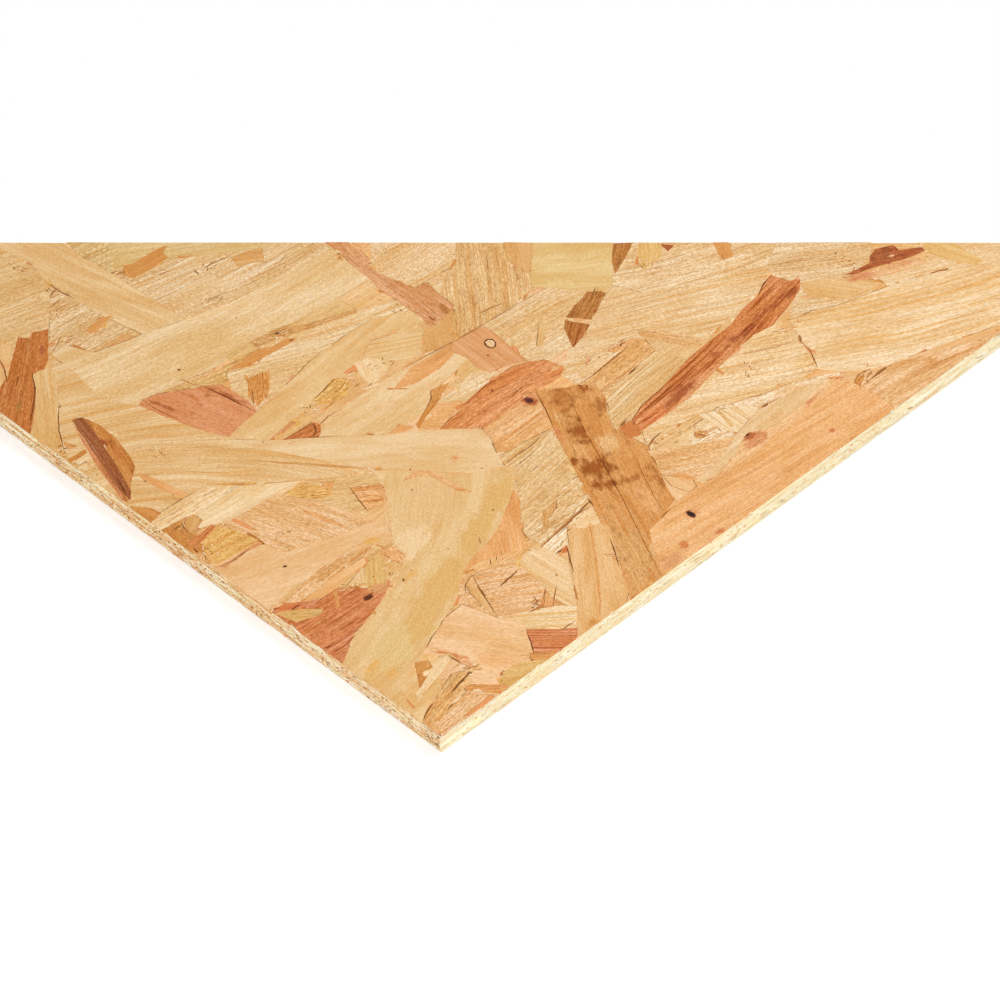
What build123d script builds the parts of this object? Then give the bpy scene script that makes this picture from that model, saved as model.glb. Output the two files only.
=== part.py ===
from build123d import *

import os

# One sheet of oriented strand board, sawn square on all four edges, lying flat.
# Millimetres. X runs along the length, which is also the main direction of the face strands,
# Y across the width and Z up through the thickness. The origin is the middle of the underside.

# Driving dimensions
panel_length = 1220.0
panel_width = 610.0
panel_thickness = 11.0

os.makedirs("parts", exist_ok=True)

# The whole sheet is pressed and sawn as one piece: a square-edged rectangle raised to its thickness
with BuildPart() as osb_panel:
    with BuildSketch(Plane.XY) as panel_outline:
        Rectangle(panel_length, panel_width)
    extrude(amount=panel_thickness)

osb_panel.part.label = "osb_panel"
export_step(osb_panel.part, "parts/osb_panel.step")
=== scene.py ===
import bpy
import math
import random
import numpy as np
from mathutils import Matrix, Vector
from mathutils.geometry import delaunay_2d_cdt


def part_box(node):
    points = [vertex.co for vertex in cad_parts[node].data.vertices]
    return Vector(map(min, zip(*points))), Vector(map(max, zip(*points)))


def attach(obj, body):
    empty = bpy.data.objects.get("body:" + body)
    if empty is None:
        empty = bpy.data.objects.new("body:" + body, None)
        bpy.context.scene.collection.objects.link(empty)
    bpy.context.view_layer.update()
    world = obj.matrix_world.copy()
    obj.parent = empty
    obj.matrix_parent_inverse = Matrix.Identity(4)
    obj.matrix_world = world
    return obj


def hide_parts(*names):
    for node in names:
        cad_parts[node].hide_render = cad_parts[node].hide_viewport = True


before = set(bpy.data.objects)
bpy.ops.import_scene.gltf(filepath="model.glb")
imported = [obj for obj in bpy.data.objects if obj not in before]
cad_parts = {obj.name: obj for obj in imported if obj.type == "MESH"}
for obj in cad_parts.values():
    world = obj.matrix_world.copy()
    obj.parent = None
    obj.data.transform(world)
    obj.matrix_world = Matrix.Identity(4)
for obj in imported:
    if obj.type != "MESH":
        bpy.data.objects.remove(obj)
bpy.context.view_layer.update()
sheetLow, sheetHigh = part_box("osb_panel")
mm = 0.001
sheetSize = [(high - low) / mm for low, high in zip(sheetLow, sheetHigh)]   # length, width, thickness
print("frame loaded, sheet of", [round(side, 1) for side in sheetSize], "mm")


# Camera, as the photo was taken

photoView = {
    "frame": 1000,                    # pixels each way
    "focalLength": 3300,              # pixels
    "azimuth": -45.1,                 # degrees, 0 looks along +Y
    "elevation": 42.5,
    "nearCorner": (441.2, 734.8),     # pixel of the sheet's near top corner
    "nearCornerDepth": 1.41,          # metres along the view
    "pictureTop": 242,                # the photo's picture begins at this row
    "sensor": 36.0,                   # millimetres
    "nearest": 0.1,                   # metres
}


def viewAxes(view):
    turn, tip = math.radians(view["azimuth"]), math.radians(view["elevation"])
    right = Vector((math.cos(turn), math.sin(turn), 0))
    ahead = Vector((-math.sin(turn) * math.cos(tip), math.cos(turn) * math.cos(tip), -math.sin(tip)))
    return right, right.cross(ahead), ahead


def viewOffset(view, pixel):
    middle = view["frame"] / 2
    return (pixel[0] - middle) / view["focalLength"], (middle - pixel[1]) / view["focalLength"]


viewRight, viewUp, viewAhead = viewAxes(photoView)
nearCorner = Vector((sheetLow.x, sheetLow.y, sheetHigh.z))
acrossShift, upShift = viewOffset(photoView, photoView["nearCorner"])
toNearCorner = viewAhead + viewRight * acrossShift + viewUp * upShift
viewPoint = nearCorner - toNearCorner * photoView["nearCornerDepth"]


def depthOnFace(pixel):
    across, up = viewOffset(photoView, pixel)
    ray = viewAhead + viewRight * across + viewUp * up
    return (sheetHigh.z - viewPoint.z) / ray.z, ray


def pixelOnFace(pixel):
    depth, ray = depthOnFace(pixel)
    spot = viewPoint + ray * depth
    return (spot.x - sheetLow.x) / mm, (spot.y - sheetLow.y) / mm


cameraData = bpy.data.cameras.new("photoCamera")
cameraData.sensor_width = photoView["sensor"]
cameraData.lens = photoView["sensor"] * photoView["focalLength"] / photoView["frame"]
cameraData.clip_start = photoView["nearest"]
pictureTop = (photoView["frame"] / 2, photoView["pictureTop"])
cameraData.clip_end = depthOnFace(pictureTop)[0]          # the sheet ends at the picture's upper border
photoCamera = bpy.data.objects.new("photoCamera", cameraData)
photoCamera.location = viewPoint
photoCamera.rotation_mode = "QUATERNION"
photoCamera.rotation_quaternion = viewAhead.to_track_quat("-Z", "Y")
bpy.context.scene.collection.objects.link(photoCamera)
bpy.context.scene.camera = photoCamera
print("camera placed at", [round(value, 3) for value in viewPoint])


# Wood colours, as they show on screen

def fromScreen(red, green, blue):
    shares = [value / 255 for value in (red, green, blue)]
    return np.array([s / 12.92 if s <= 0.04045 else ((s + 0.055) / 1.055) ** 2.4 for s in shares])


woodTones = {
    # ivory, the long edges' main tone, is paler than sawn wood under a plain light: partly painted light
    "ivory": fromScreen(253, 242, 206),
    "bone": fromScreen(251, 231, 188),
    "white": fromScreen(243, 211, 166),
    "pale": fromScreen(239, 204, 154),
    "cream": fromScreen(234, 196, 144),
    "wheat": fromScreen(229, 188, 131),
    "honey": fromScreen(226, 181, 120),
    "grassy": fromScreen(226, 190, 128),
    "olive": fromScreen(223, 178, 109),
    "gold": fromScreen(229, 176, 99),
    "tan": fromScreen(231, 182, 122),
    "blush": fromScreen(236, 189, 136),
    "peach": fromScreen(235, 180, 121),
    "apricot": fromScreen(231, 170, 108),
    "fawn": fromScreen(219, 166, 103),
    "pink": fromScreen(220, 158, 104),
    "rose": fromScreen(218, 147, 97),
    "salmon": fromScreen(225, 150, 92),
    "ginger": fromScreen(219, 154, 87),
    "coral": fromScreen(215, 138, 88),
    "amber": fromScreen(210, 143, 74),
    "clay": fromScreen(212, 134, 76),
    "rust": fromScreen(214, 125, 69),
    "burnt": fromScreen(199, 121, 59),
    "brown": fromScreen(190, 129, 67),
    "russet": fromScreen(172, 92, 48),
    "cocoa": fromScreen(184, 104, 58),
    "umber": fromScreen(186, 118, 58),
    "plum": fromScreen(163, 97, 54),
    "stain": fromScreen(162, 90, 33),
    "bark": fromScreen(96, 48, 22),
    "eye": fromScreen(88, 42, 38),
    "soot": fromScreen(52, 28, 20),
}
faceShares = {"cream": 20, "wheat": 20, "honey": 16, "tan": 12, "blush": 9, "peach": 7, "grassy": 5,
              "olive": 4, "pale": 4, "apricot": 3, "fawn": 3, "pink": 2.5, "rose": 1.5, "salmon": 1.5,
              "ginger": 1.5, "coral": 1, "amber": 1, "clay": 0.8, "burnt": 0.6, "brown": 0.6, "rust": 0.5}
# long edges: partly the pale sawn wood, partly painted light, as bright as the lit front edge
longEdgeSharesWithPaintedLight = {"ivory": 62, "bone": 32, "white": 6}
endEdgeShares = {"bone": 30, "ivory": 14, "white": 26, "blush": 14, "cream": 8, "tan": 8}


def pickTone(rng, shares):
    return rng.choices(list(shares), list(shares.values()))[0]


# Strands: each is an outline on a face, in millimetres from the face's own corner

lightSide = np.array([-0.45, -0.89])      # where the key light stands, as a direction on the top face
palest = 0.92                             # no painted-highlight lip or splinter is paler
strandRange = {                           # usual value and spread
    "shade": (1, 0.025), "green": (1, 0.012), "blue": (1, 0.025),
    "rings": (0.3, 0.25),                 # how strongly growth rings show
    "spacing": (2.0, 7.0),                # least and most millimetres from ring to ring
    "curve": (0, 0.0008),
    "apex": (-40, 40),                    # least and most
    "blots": (-0.1, 0.2),
    "lined": (0.2, 0.18),                 # how strongly dark and pale lines run along it
}
strandForm = {
    "steps": (-1, -0.45, 0.1, 0.55, 1),   # along the half length
    "bow": 0.012, "taper": (0.55, 1.0), "wave": 0.035, "slant": 0.35,
    "teeth": (1, 2, 3, 4, 5), "bite": (-0.2, 1),
}


def turned(points, angle, middle):
    c, s = math.cos(angle), math.sin(angle)
    return points @ np.array([[c, s], [-s, c]]) + np.array(middle)


def turnedBack(points, angle, middle):
    c, s = math.cos(angle), math.sin(angle)
    return (points - np.array(middle)) @ np.array([[c, -s], [s, c]])


def anticlockwise(outline):
    x, y = outline[:, 0], outline[:, 1]
    return outline if (x * np.roll(y, -1) - y * np.roll(x, -1)).sum() > 0 else outline[::-1]


def strandOf(outline, angle, tone, rng, **look):
    local = turnedBack(outline, angle, (0, 0))
    low, high = local.min(0), local.max(0)

    def usual(key):
        return rng.gauss(*strandRange[key])

    strand = {
        "outline": anticlockwise(outline),
        "angle": angle,
        "middle": turned((low + high) / 2, angle, (0, 0)),
        "span": high - low,
        "tone": woodTones[tone] * usual("shade") * [1, usual("green"), usual("blue")],
        "seed": rng.random(),
        "rings": max(0.0, usual("rings")),
        "spacing": rng.uniform(*strandRange["spacing"]),
        "curve": usual("curve"),
        "apex": rng.uniform(*strandRange["apex"]),
        "torn": rng.random() ** 2,                    # how rough the fibres are
        "blots": max(0.0, usual("blots")),
        "lined": max(0.0, usual("lined")),
        "marks": [],
        "proud": 0.0,                                 # millimetres that it stands above its layer
        "void": False,
        "kept": False,
    }
    strand.update(look)
    return strand


def voidOf(outline):
    return {"outline": anticlockwise(np.array(outline)), "void": True, "kept": True}


def strandShape(rng, length, width, jag):
    half, points = length / 2, []
    bow = rng.gauss(0, strandForm["bow"]) * length
    taper = [rng.uniform(*strandForm["taper"]), rng.uniform(*strandForm["taper"])]
    for side in (-1, 1):                                  # lower side out, upper side back
        line = []
        for step in strandForm["steps"]:
            share = taper[0] + (taper[1] - taper[0]) * (step + 1) / 2
            share = 1 - (1 - share) * abs(step)
            wave = rng.gauss(0, strandForm["wave"]) * width
            line.append((step * half, side * width / 2 * share + wave + bow * (1 - step * step)))
        slant = rng.gauss(0, strandForm["slant"]) * width
        if side == 1:
            line.reverse()
        points += line
        tip, teeth = line[-1], rng.choice(strandForm["teeth"])
        for tooth in range(1, teeth + 1):                 # broken end across the grain
            reach = side * rng.uniform(*strandForm["bite"]) * jag
            share = tooth / (teeth + 1)
            points.append((tip[0] + reach + slant * share, tip[1] * (1 - 2 * share)))
    return np.array(points)


trimForm = {"run": (0.12, 0.32), "litFrom": 0.1, "lipProud": 0.08, "underlap": 0.03, "ragged": (0.8, 0.6)}


def trimmed(strand, rng, trim):
    below, above, count = [], [], len(strand["outline"])
    wobble = random.Random(strand["seed"])
    for _ in range(rng.choice(trim["count"])):
        first, run = rng.randrange(count), max(3, int(count * rng.uniform(*trimForm["run"])))
        line = strand["outline"][[(first + i) % count for i in range(run + 1)]]
        ahead = np.gradient(line, axis=0)
        out = np.stack([ahead[:, 1], -ahead[:, 0]], 1) / (np.hypot(ahead[:, 0], ahead[:, 1])[:, None] + 1e-9)
        swell = np.sin(np.linspace(0, math.pi, run + 1))[:, None]
        if out.mean(0) @ lightSide > trimForm["litFrom"]:  # a raised rim where the light falls, painted paler as a highlight
            rim = np.concatenate([line, (line - out * swell * rng.uniform(*trim["rim"]))[::-1]])
            # painted highlight: the lip takes the strand's tone made paler
            lip = strandOf(rim, strand["angle"], "white", rng, kept=True, proud=trimForm["lipProud"])
            lip["tone"] = np.minimum(strand["tone"] * trim["pale"], palest)
            above.append(lip)
        else:                                             # a gap on the side away from it
            ragged = np.array([[max(0.0, wobble.gauss(*trimForm["ragged"]))] for _ in line])
            gap = (line + out * swell * ragged * rng.uniform(*trim["gap"]))[::-1]
            below.append(voidOf(np.concatenate([line - out * trimForm["underlap"], gap])))
    return below + [strand] + above


sliverForm = np.array([[-1, -0.2], [-0.3, -1], [0.5, -0.8], [1, 0.1], [0.4, 0.9], [-0.5, 0.8]])
splinterProud = (0, 0.12)                                 # millimetres


def sliver(rng, spot, angle, size):
    length, width = rng.uniform(*size["length"]), rng.uniform(*size["width"])
    return turned(sliverForm * (length / 2, width / 2), angle, spot)


def frayed(strand, rng, fray):
    found, angle = [], strand["angle"]
    grain = np.array([math.cos(angle), math.sin(angle)])
    for start, end in zip(strand["outline"], np.roll(strand["outline"], -1, axis=0)):
        side = end - start
        length = np.hypot(side[0], side[1])
        if abs(side @ grain) > fray["withGrain"] * length:
            continue
        for _ in range(int(length / fray["apart"] + rng.random())):
            spot = start + side * rng.random() + grain * rng.uniform(-1, 1) * fray["reach"]
            lean = angle + rng.gauss(0, fray["lean"])
            outline = sliver(rng, spot, lean, fray)
            if rng.random() < fray["voids"]:
                found.append(voidOf(outline))
            else:
                proud = rng.uniform(*splinterProud)
                splint = strandOf(outline, lean, "white", rng, kept=True, torn=1.0, proud=proud)
                splint["tone"] = np.minimum(strand["tone"] * rng.uniform(*fray["shade"]), palest)
                found.append(splint)
    return found


def splitOpen(strand, rng, split):
    found, angle = [], strand["angle"]
    out = np.array([-math.sin(angle), math.cos(angle)])
    lit = out if out @ lightSide < 0 else -out            # the far lip of a split catches the light and is painted paler, as a highlight
    for _ in range(rng.choice(split["count"])):
        share = np.array([rng.uniform(*split["along"]), rng.uniform(*split["across"])])
        spot = turned(share * strand["span"], angle, strand["middle"])
        lean = angle + rng.gauss(0, split["lean"])
        ridge = sliver(rng, spot + lit * split["lip"], lean, split)
        # painted highlight: the split's far lip takes the strand's tone made paler
        lip = strandOf(ridge, lean, "white", rng, kept=True, proud=split["proud"])
        lip["tone"] = np.minimum(strand["tone"] * split["pale"], palest)
        found += [lip, voidOf(sliver(rng, spot, lean, split))]
    return found


def chipsUnder(strand, rng, chip):
    found = []
    for start, end in zip(strand["outline"], np.roll(strand["outline"], -1, axis=0)):
        side = end - start
        if rng.random() < np.hypot(side[0], side[1]) / chip["apart"]:
            angle = math.atan2(side[1], side[0]) + rng.gauss(0, chip["lean"])
            shape = strandShape(rng, rng.uniform(*chip["length"]), rng.uniform(*chip["width"]), chip["jag"])
            outline = turned(shape, angle, start + side * rng.random())
            found.append(strandOf(outline, angle, rng.choice(chip["tones"]), rng, kept=True))
    return found


def scatterFaceStrands(rng, size, spread):
    strands, covered = baseStrands(rng, size, spread["tile"], faceShares), 0
    while covered < spread["layers"] * size[0] * size[1]:
        length = rng.triangular(*spread["length"])
        width = rng.triangular(*spread["width"])
        angle = rng.gauss(0, spread["lean"]) if rng.random() > spread["strays"] else rng.uniform(0, math.pi)
        past = spread["past"]
        middle = (rng.uniform(-past, size[0] + past), rng.uniform(-past, size[1] + past))
        outline = turned(strandShape(rng, length, width, spread["jag"]), angle, middle)
        strand = strandOf(outline, angle, pickTone(rng, faceShares), rng)
        strands += trimmed(strand, rng, spread["trim"]) + splitOpen(strand, rng, spread["split"])
        covered += length * width
    return strands


def scatterSplinters(rng, middle, reach, angle, splinters):
    found = []
    for _ in range(splinters["count"]):
        lean = angle + rng.gauss(0, splinters["lean"])
        offset = np.array([rng.gauss(0, 0.5) * reach[0], rng.gauss(0, 0.5) * reach[1]])
        outline = sliver(rng, turned(offset, angle, middle), lean, splinters)
        if rng.random() < splinters["voids"]:
            found.append(voidOf(outline))
        else:
            tone, proud = rng.choice(splinters["tones"]), rng.uniform(*splinterProud)
            found.append(strandOf(outline, lean, tone, rng, kept=True, torn=1.0, proud=proud))
    return found


def baseStrands(rng, size, tile, shares):
    found = []
    for column in range(int(size[0] / tile[0]) + 1):
        for row in range(int(size[1] / tile[1]) + 1):
            corner = np.array([column * tile[0], row * tile[1]])
            outline = corner + np.array([(-1, -1), (1, -1), (1, 1), (-1, 1)]) * (0.55 * np.array(tile))
            found.append(strandOf(outline, 0.0, pickTone(rng, shares), rng))
    return found


def rimNicks(rng, size, nicks):
    found = []
    for side in range(4):
        reach = size[side % 2]
        place = rng.uniform(*nicks["apart"])
        while place < reach - nicks["length"][1]:
            length = rng.uniform(*nicks["length"])
            depth = rng.triangular(*nicks["depth"])
            bite = [(place, -1), (place + length, -1), (place + length, 0), (place + 0.7 * length, depth),
                    (place + 0.35 * length, 0.6 * depth), (place, 0)]
            far = size[1 - side % 2]
            bite = [(along, inward if side < 2 else far - inward) for along, inward in bite]
            found.append(voidOf(bite if side % 2 == 0 else [(inward, along) for along, inward in bite]))
            place += length + rng.uniform(*nicks["apart"])
    return found


# Strands that the photo shows, lowest first, with outlines and grain directions in its pixels

def drawn(tone, grain, outline, **look):
    return dict(tone=tone, grain=grain, outline=outline, **look)


photoStrands = {
    "topStripHoney": drawn("grassy", (1, -0.12), [(118, 225), (335, 222), (330, 250), (262, 262),
        (200, 263), (165, 262), (113, 273), (110, 258)]),
    "topGrey": drawn("grassy", (1, -0.5), [(52, 228), (132, 228), (114, 256), (113, 274), (84, 259)]),
    "upperWheat": drawn("cream", (1, -0.42), [(112, 286), (170, 259), (232, 252), (330, 236), (348, 262),
        (300, 272), (262, 292), (228, 306), (186, 322), (148, 302)], rings=0.4, torn=0.9, lined=0.4),
    "leftHoney": drawn("wheat", (1, -0.4), [(-20, 225), (32, 225), (50, 284), (50, 335), (30, 346),
        (-20, 346)], rings=0.5, spacing=9, torn=0.6, lined=0.35),
    "honeyDiagonal": drawn("wheat", (1, 0.47), [(-20, 222), (50, 234), (85, 258), (112, 273), (150, 297),
        (186, 319), (165, 327), (140, 335), (115, 322), (72, 297), (49, 284), (30, 262), (-20, 240)],
        rings=0.4, spacing=6, torn=0.15, lined=0.0),
    "amberPiece": drawn("amber", (1, -0.6), [(116, 274), (124, 268), (160, 247), (168, 245), (163, 252),
        (168, 257), (160, 262), (150, 270), (133, 278)], rings=0.5),
    "tanPiece": drawn("fawn", (1, -0.1), [(230, 257), (250, 250), (263, 247), (264, 261), (250, 263),
        (237, 267)], rings=0.8, spacing=3),
    "wheatLeft": drawn("wheat", (1, -0.55), [(50, 284), (72, 297), (115, 322), (142, 334), (120, 346),
        (92, 358), (72, 372), (48, 358), (50, 320)], torn=0.9, lined=0.4),
    "salmonBit": drawn("ginger", (1, -0.7), [(85, 331), (100, 318), (113, 315), (105, 323), (95, 333)]),
    "amberFleck": drawn("fawn", (1, -0.6), [(104, 344), (126, 333), (136, 337), (122, 346), (112, 350)]),
    "ringedCream": drawn("wheat", (1, 0.22), [(36, 374), (52, 354), (75, 372), (97, 393), (112, 402),
        (138, 405), (175, 420), (228, 437), (268, 441), (300, 452), (345, 462), (374, 470), (340, 477),
        (300, 479), (250, 484), (206, 487), (180, 499), (155, 515), (136, 514), (60, 458), (58, 410),
        (42, 395)], rings=0.8, spacing=7, curve=0.0035, apex=60),
    "salmonSplash": drawn("apricot", (1, 0.4), [(138, 473), (150, 476), (172, 486), (192, 496),
        (184, 498), (160, 489), (142, 479)], kept=True),
    "longPale": drawn("cream", (1, -0.5), [(52, 354), (66, 345), (95, 352), (140, 335), (185, 319),
        (230, 302), (270, 283), (300, 262), (332, 248), (352, 262), (370, 277), (345, 293), (300, 319),
        (275, 330), (250, 341), (230, 353), (190, 377), (165, 389), (150, 395), (130, 401), (110, 402),
        (97, 393), (83, 381), (75, 372)], rings=0.3, spacing=5, torn=0.3, lined=0.12,
        marks=[(179, 369, 3.6, 2.6, "salmon", 0.55), (179, 369, 1.2, 0.9, "bark", 1.6)]),
    # painted highlight: a pale sliver along a lit strand border
    "longPaleLip": drawn("pale", (1, -0.3), [(185, 318), (250, 299), (248, 302), (190, 321)], kept=True),
    "creamUpright": drawn("honey", (0.1, 1), [(33, 374), (50, 362), (57, 385), (58, 410), (60, 440),
        (70, 462), (28, 438), (33, 405)], rings=0.5),
    "chipUpper": drawn("ginger", (1, 0.3), [(63, 441), (78, 446), (66, 450)], kept=True),
    "chipLower": drawn("amber", (1, -0.4), [(67, 459), (85, 449), (87, 453), (71, 463)], kept=True),
    "greyTriangle": drawn("pale", (1, 0), [(72, 461), (89, 456), (87, 471)], kept=True),
    "leftSliver": drawn("tan", (0.2, 1), [(-20, 335), (12, 346), (8, 375), (-2, 406), (-20, 400)]),
    "burntBrown": drawn("burnt", (-0.18, 1), [(18, 337), (30, 338), (32, 333), (48, 329), (48, 360),
        (44, 369), (35, 371), (32, 376), (36, 392), (35, 405), (30, 436), (-10, 404), (8, 375),
        (13, 355)], rings=0.35, spacing=4, blots=0.2, lined=0.3, proud=0.05, torn=1.0,
        marks=[(41, 352, 9, 2.2, "russet", 0.9), (20, 405, 6, 3, "brown", 0.7)]),
    "goldStrip": drawn("olive", (1, -0.42), [(158, 394), (196, 377), (232, 362), (252, 352), (262, 357),
        (240, 369), (224, 384), (203, 387), (175, 392)], rings=0.7, lined=0.6, torn=1.0),
    # painted highlight: a paler sliver along goldStrip's lit lower border
    "whiteLip": drawn("tan", (1, -0.45), [(188, 379), (222, 366), (224, 368), (192, 381)]),
    "midCream": drawn("cream", (1, -0.38), [(226, 372), (262, 350), (297, 338), (325, 322), (356, 310),
        (400, 300), (414, 309), (372, 318), (345, 335), (310, 361), (285, 384), (262, 404), (250, 403),
        (232, 388)], rings=0.45, torn=0.6, lined=0.35),
    "pinkPatch": drawn("rose", (1, 0.42), [(138, 405), (143, 399), (158, 393), (175, 391), (203, 386),
        (222, 384), (250, 402), (257, 411), (228, 437), (195, 428), (175, 420)], rings=0.2, lined=0.15,
        proud=0.04, blots=0.12, torn=0.35, marks=[(193, 412, 3, 4, "russet", 0.6),
        (165, 406, 14, 2.4, "russet", 0.7), (228, 396, 16, 1.6, "russet", 0.9),
        (190, 397, 12, 2.5, "clay", 0.8)]),
    "tanPatch": drawn("ginger", (0.1, 1), [(248, 378), (258, 374), (269, 371), (270, 385), (267, 396),
        (257, 405), (248, 395)], rings=0.8, spacing=5, lined=0.6, torn=0.9),
    "midHoney": drawn("wheat", (1, -0.68), [(226, 439), (257, 411), (290, 381), (310, 361), (345, 335),
        (372, 318), (414, 309), (422, 324), (375, 338), (358, 360), (345, 380), (322, 400), (300, 413),
        (268, 442)], rings=0.4),
    "amberSliver": drawn("fawn", (1, -0.4), [(250, 341), (263, 335), (273, 330), (285, 325), (302, 325),
        (322, 319), (323, 324), (302, 331), (286, 337), (256, 347)], lined=0.8, torn=1.0,
        marks=[(278, 332, 2.6, 1.4, "bark", 1.0)]),
    "shadowSliver": drawn("fawn", (1, -0.35), [(323, 320), (355, 308), (357, 312), (326, 323)]),
    "lowerSliver": drawn("ginger", (1, -0.45), [(232, 369), (250, 353), (260, 349), (272, 346),
        (286, 338), (298, 338), (281, 348), (262, 358), (250, 366)], rings=0.6,
        marks=[(291, 340, 2.4, 1.1, "russet", 1.0)]),
    "paleBroad": drawn("cream", (1, -0.65), [(312, 440), (336, 414), (370, 388), (408, 366), (448, 345),
        (484, 325), (474, 352), (452, 374), (432, 391), (426, 412), (405, 424), (383, 436)], rings=0.35),
    "lipMid": drawn("honey", (1, -0.7), [(284, 437), (300, 427), (322, 412), (340, 402), (338, 407),
        (322, 417), (303, 430)], lined=0.3, proud=0.1),
    "rustBit": drawn("clay", (1, -0.5), [(283, 439), (300, 430), (312, 422), (320, 424), (321, 433),
        (316, 440)], lined=0.9, rings=0.7, spacing=3, torn=1.0),
    "coralSliver": drawn("pink", (1, -0.8), [(267, 441), (280, 430), (290, 421), (297, 422), (285, 431)]),
    "orangeTip": drawn("apricot", (1, -0.4), [(384, 436), (400, 425), (413, 426), (405, 431)]),
    "tanUpper": drawn("apricot", (1, -0.6), [(392, 390), (412, 366), (448, 346), (455, 352), (440, 368),
        (418, 382)], rings=0.7),
    "oliveTan": drawn("fawn", (0.3, 1), [(418, 324), (452, 308), (466, 328), (448, 346), (420, 353),
        (424, 331)]),
    "honeyRinged": drawn("wheat", (1, -0.2), [(372, 340), (420, 325), (424, 330), (420, 352), (402, 362),
        (358, 363)], rings=0.9, spacing=3),
    "goldMottled": drawn("gold", (1, -0.8), [(312, 401), (333, 378), (350, 378), (347, 396), (330, 403)],
        torn=1.0, blots=0.5, lined=0.6),
    "orangeSpot": drawn("salmon", (1, -0.6), [(343, 372), (352, 366), (362, 363), (356, 370), (347, 374)]),
    "palePatch": drawn("pale", (0.7, 1), [(355, 364), (367, 357), (394, 361), (385, 373), (370, 387),
        (360, 375)], rings=0.4),
    "whiteUnder": drawn("pale", (1, -0.5), [(452, 392), (470, 372), (502, 370), (484, 386), (462, 405),
        (441, 426), (428, 420), (440, 400)], rings=0.4),
    "stripedBit": drawn("peach", (1, 0.0), [(430, 403), (463, 400), (441, 428), (418, 432)], rings=0.9,
        spacing=2.2),
    "amberV": drawn("amber", (-0.6, 1), [(430, 390), (449, 382), (442, 393), (437, 403), (427, 415),
        (419, 428), (416, 424), (425, 410), (432, 398)]),
    "smallAmber": drawn("wheat", (1, -0.9), [(449, 388), (464, 373), (457, 386)]),
    "rightPale": drawn("cream", (1, -0.6), [(368, 236), (462, 228), (457, 265), (440, 286), (427, 282),
        (415, 289), (397, 282), (367, 266), (372, 256)]),
    "honeyBlock": drawn("honey", (0.06, 1), [(456, 228), (542, 228), (534, 287), (515, 304), (487, 322),
        (460, 337), (450, 330), (456, 306), (440, 295), (444, 280), (456, 262)], rings=0.5, spacing=8,
        blots=0.25, torn=0.6, lined=0.35),
    "tanInside": drawn("fawn", (0.1, 1), [(500, 232), (538, 232), (531, 274), (510, 263)], torn=0.12),
    "grassyBlock": drawn("grassy", (1, -0.1), [(534, 225), (615, 225), (613, 285), (603, 291), (587, 290),
        (563, 288), (530, 286)], rings=0.15, torn=0.1, lined=0.0),
    "pinkLong": drawn("pink", (1, 0.72), [(322, 240), (345, 232), (350, 246), (363, 251), (370, 258),
        (367, 265), (377, 272), (397, 281), (415, 288), (427, 282), (440, 295), (454, 305), (446, 316),
        (435, 322), (430, 327), (422, 318), (397, 300), (380, 290), (368, 277), (350, 263), (336, 250)],
        rings=0.15, proud=0.05, lined=0.4, blots=0.2, torn=0.6, marks=[(444, 308, 6, 3.4, "brown", 1.1),
        (432, 318, 4, 1.6, "russet", 0.8), (331, 246, 4, 3, "salmon", 0.8)]),
    "upperCream": drawn("cream", (1, -0.3), [(612, 232), (660, 228), (785, 225), (775, 264), (700, 287),
        (640, 294), (613, 286)], rings=0.4),
    "centreCream": drawn("cream", (1, -0.5), [(482, 325), (515, 305), (545, 287), (565, 289), (588, 291),
        (575, 305), (565, 318), (565, 330), (571, 346), (545, 362), (528, 361), (510, 346), (498, 335)],
        rings=0.4, torn=0.6, lined=0.35),
    "grainyCream": drawn("cream", (1, -0.24), [(590, 319), (605, 295), (614, 285), (640, 292), (700, 285),
        (772, 262), (765, 283), (745, 306), (720, 325), (705, 342), (652, 337), (633, 339), (602, 366),
        (577, 385), (562, 375), (562, 366), (570, 345), (583, 336)], rings=0.8, spacing=5, torn=0.6,
        lined=0.35),
    "oliveStrip": drawn("tan", (1, 0.15), [(638, 331), (668, 331), (704, 338), (700, 348), (660, 341),
        (640, 336)], rings=0.8, spacing=2),
    "brownTriangle": drawn("brown", (-0.4, 1), [(613, 234), (638, 232), (626, 256), (615, 274),
        (612, 260)], lined=0.6, rings=0.35, spacing=3, torn=1.0),
    "ribbedBit": drawn("olive", (0.05, 1), [(638, 234), (663, 234), (660, 258), (651, 262), (645, 270),
        (638, 262)], rings=1.0, spacing=2),
    "redSpot": drawn("russet", (1, 0), [(661, 244), (674, 245), (668, 251)]),
    "bitsTop": drawn("ginger", (0.5, 1), [(711, 238), (727, 238), (733, 256), (721, 259)]),
    "brownLeaf": drawn("brown", (-0.5, 1), [(587, 291), (606, 292), (602, 300), (597, 311), (591, 319),
        (566, 317), (575, 305), (582, 298)], lined=0.9, rings=0.5, torn=1.0,
        marks=[(595, 311, 2.2, 1.6, "russet", 0.9)]),
    "leafTip": drawn("umber", (-0.3, 1), [(565, 320), (590, 324), (583, 336), (573, 347), (568, 336),
        (564, 328)], lined=0.9, rings=0.5, torn=1.0),
    "curledTan": drawn("honey", (0.1, 1), [(539, 321), (548, 325), (542, 346), (537, 345)]),
    "pinkKnotStrand": drawn("pink", (1, 0.8), [(452, 342), (482, 325), (498, 335), (510, 346), (528, 360),
        (508, 365), (490, 372), (478, 368), (468, 358), (450, 350)], rings=0.2, proud=0.03, lined=0.35,
        blots=0.1, marks=[(490, 343, 6, 5, "coral", 0.9), (488, 355, 1.2, 0.8, "russet", 1)]),
    "knotRing": drawn("bark", (1, 0.4), [(484, 341), (487, 338.6), (492.5, 338.8), (496, 342),
        (496, 346.3), (491.5, 348.3), (487, 347), (484.4, 344.5)], kept=True),
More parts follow.
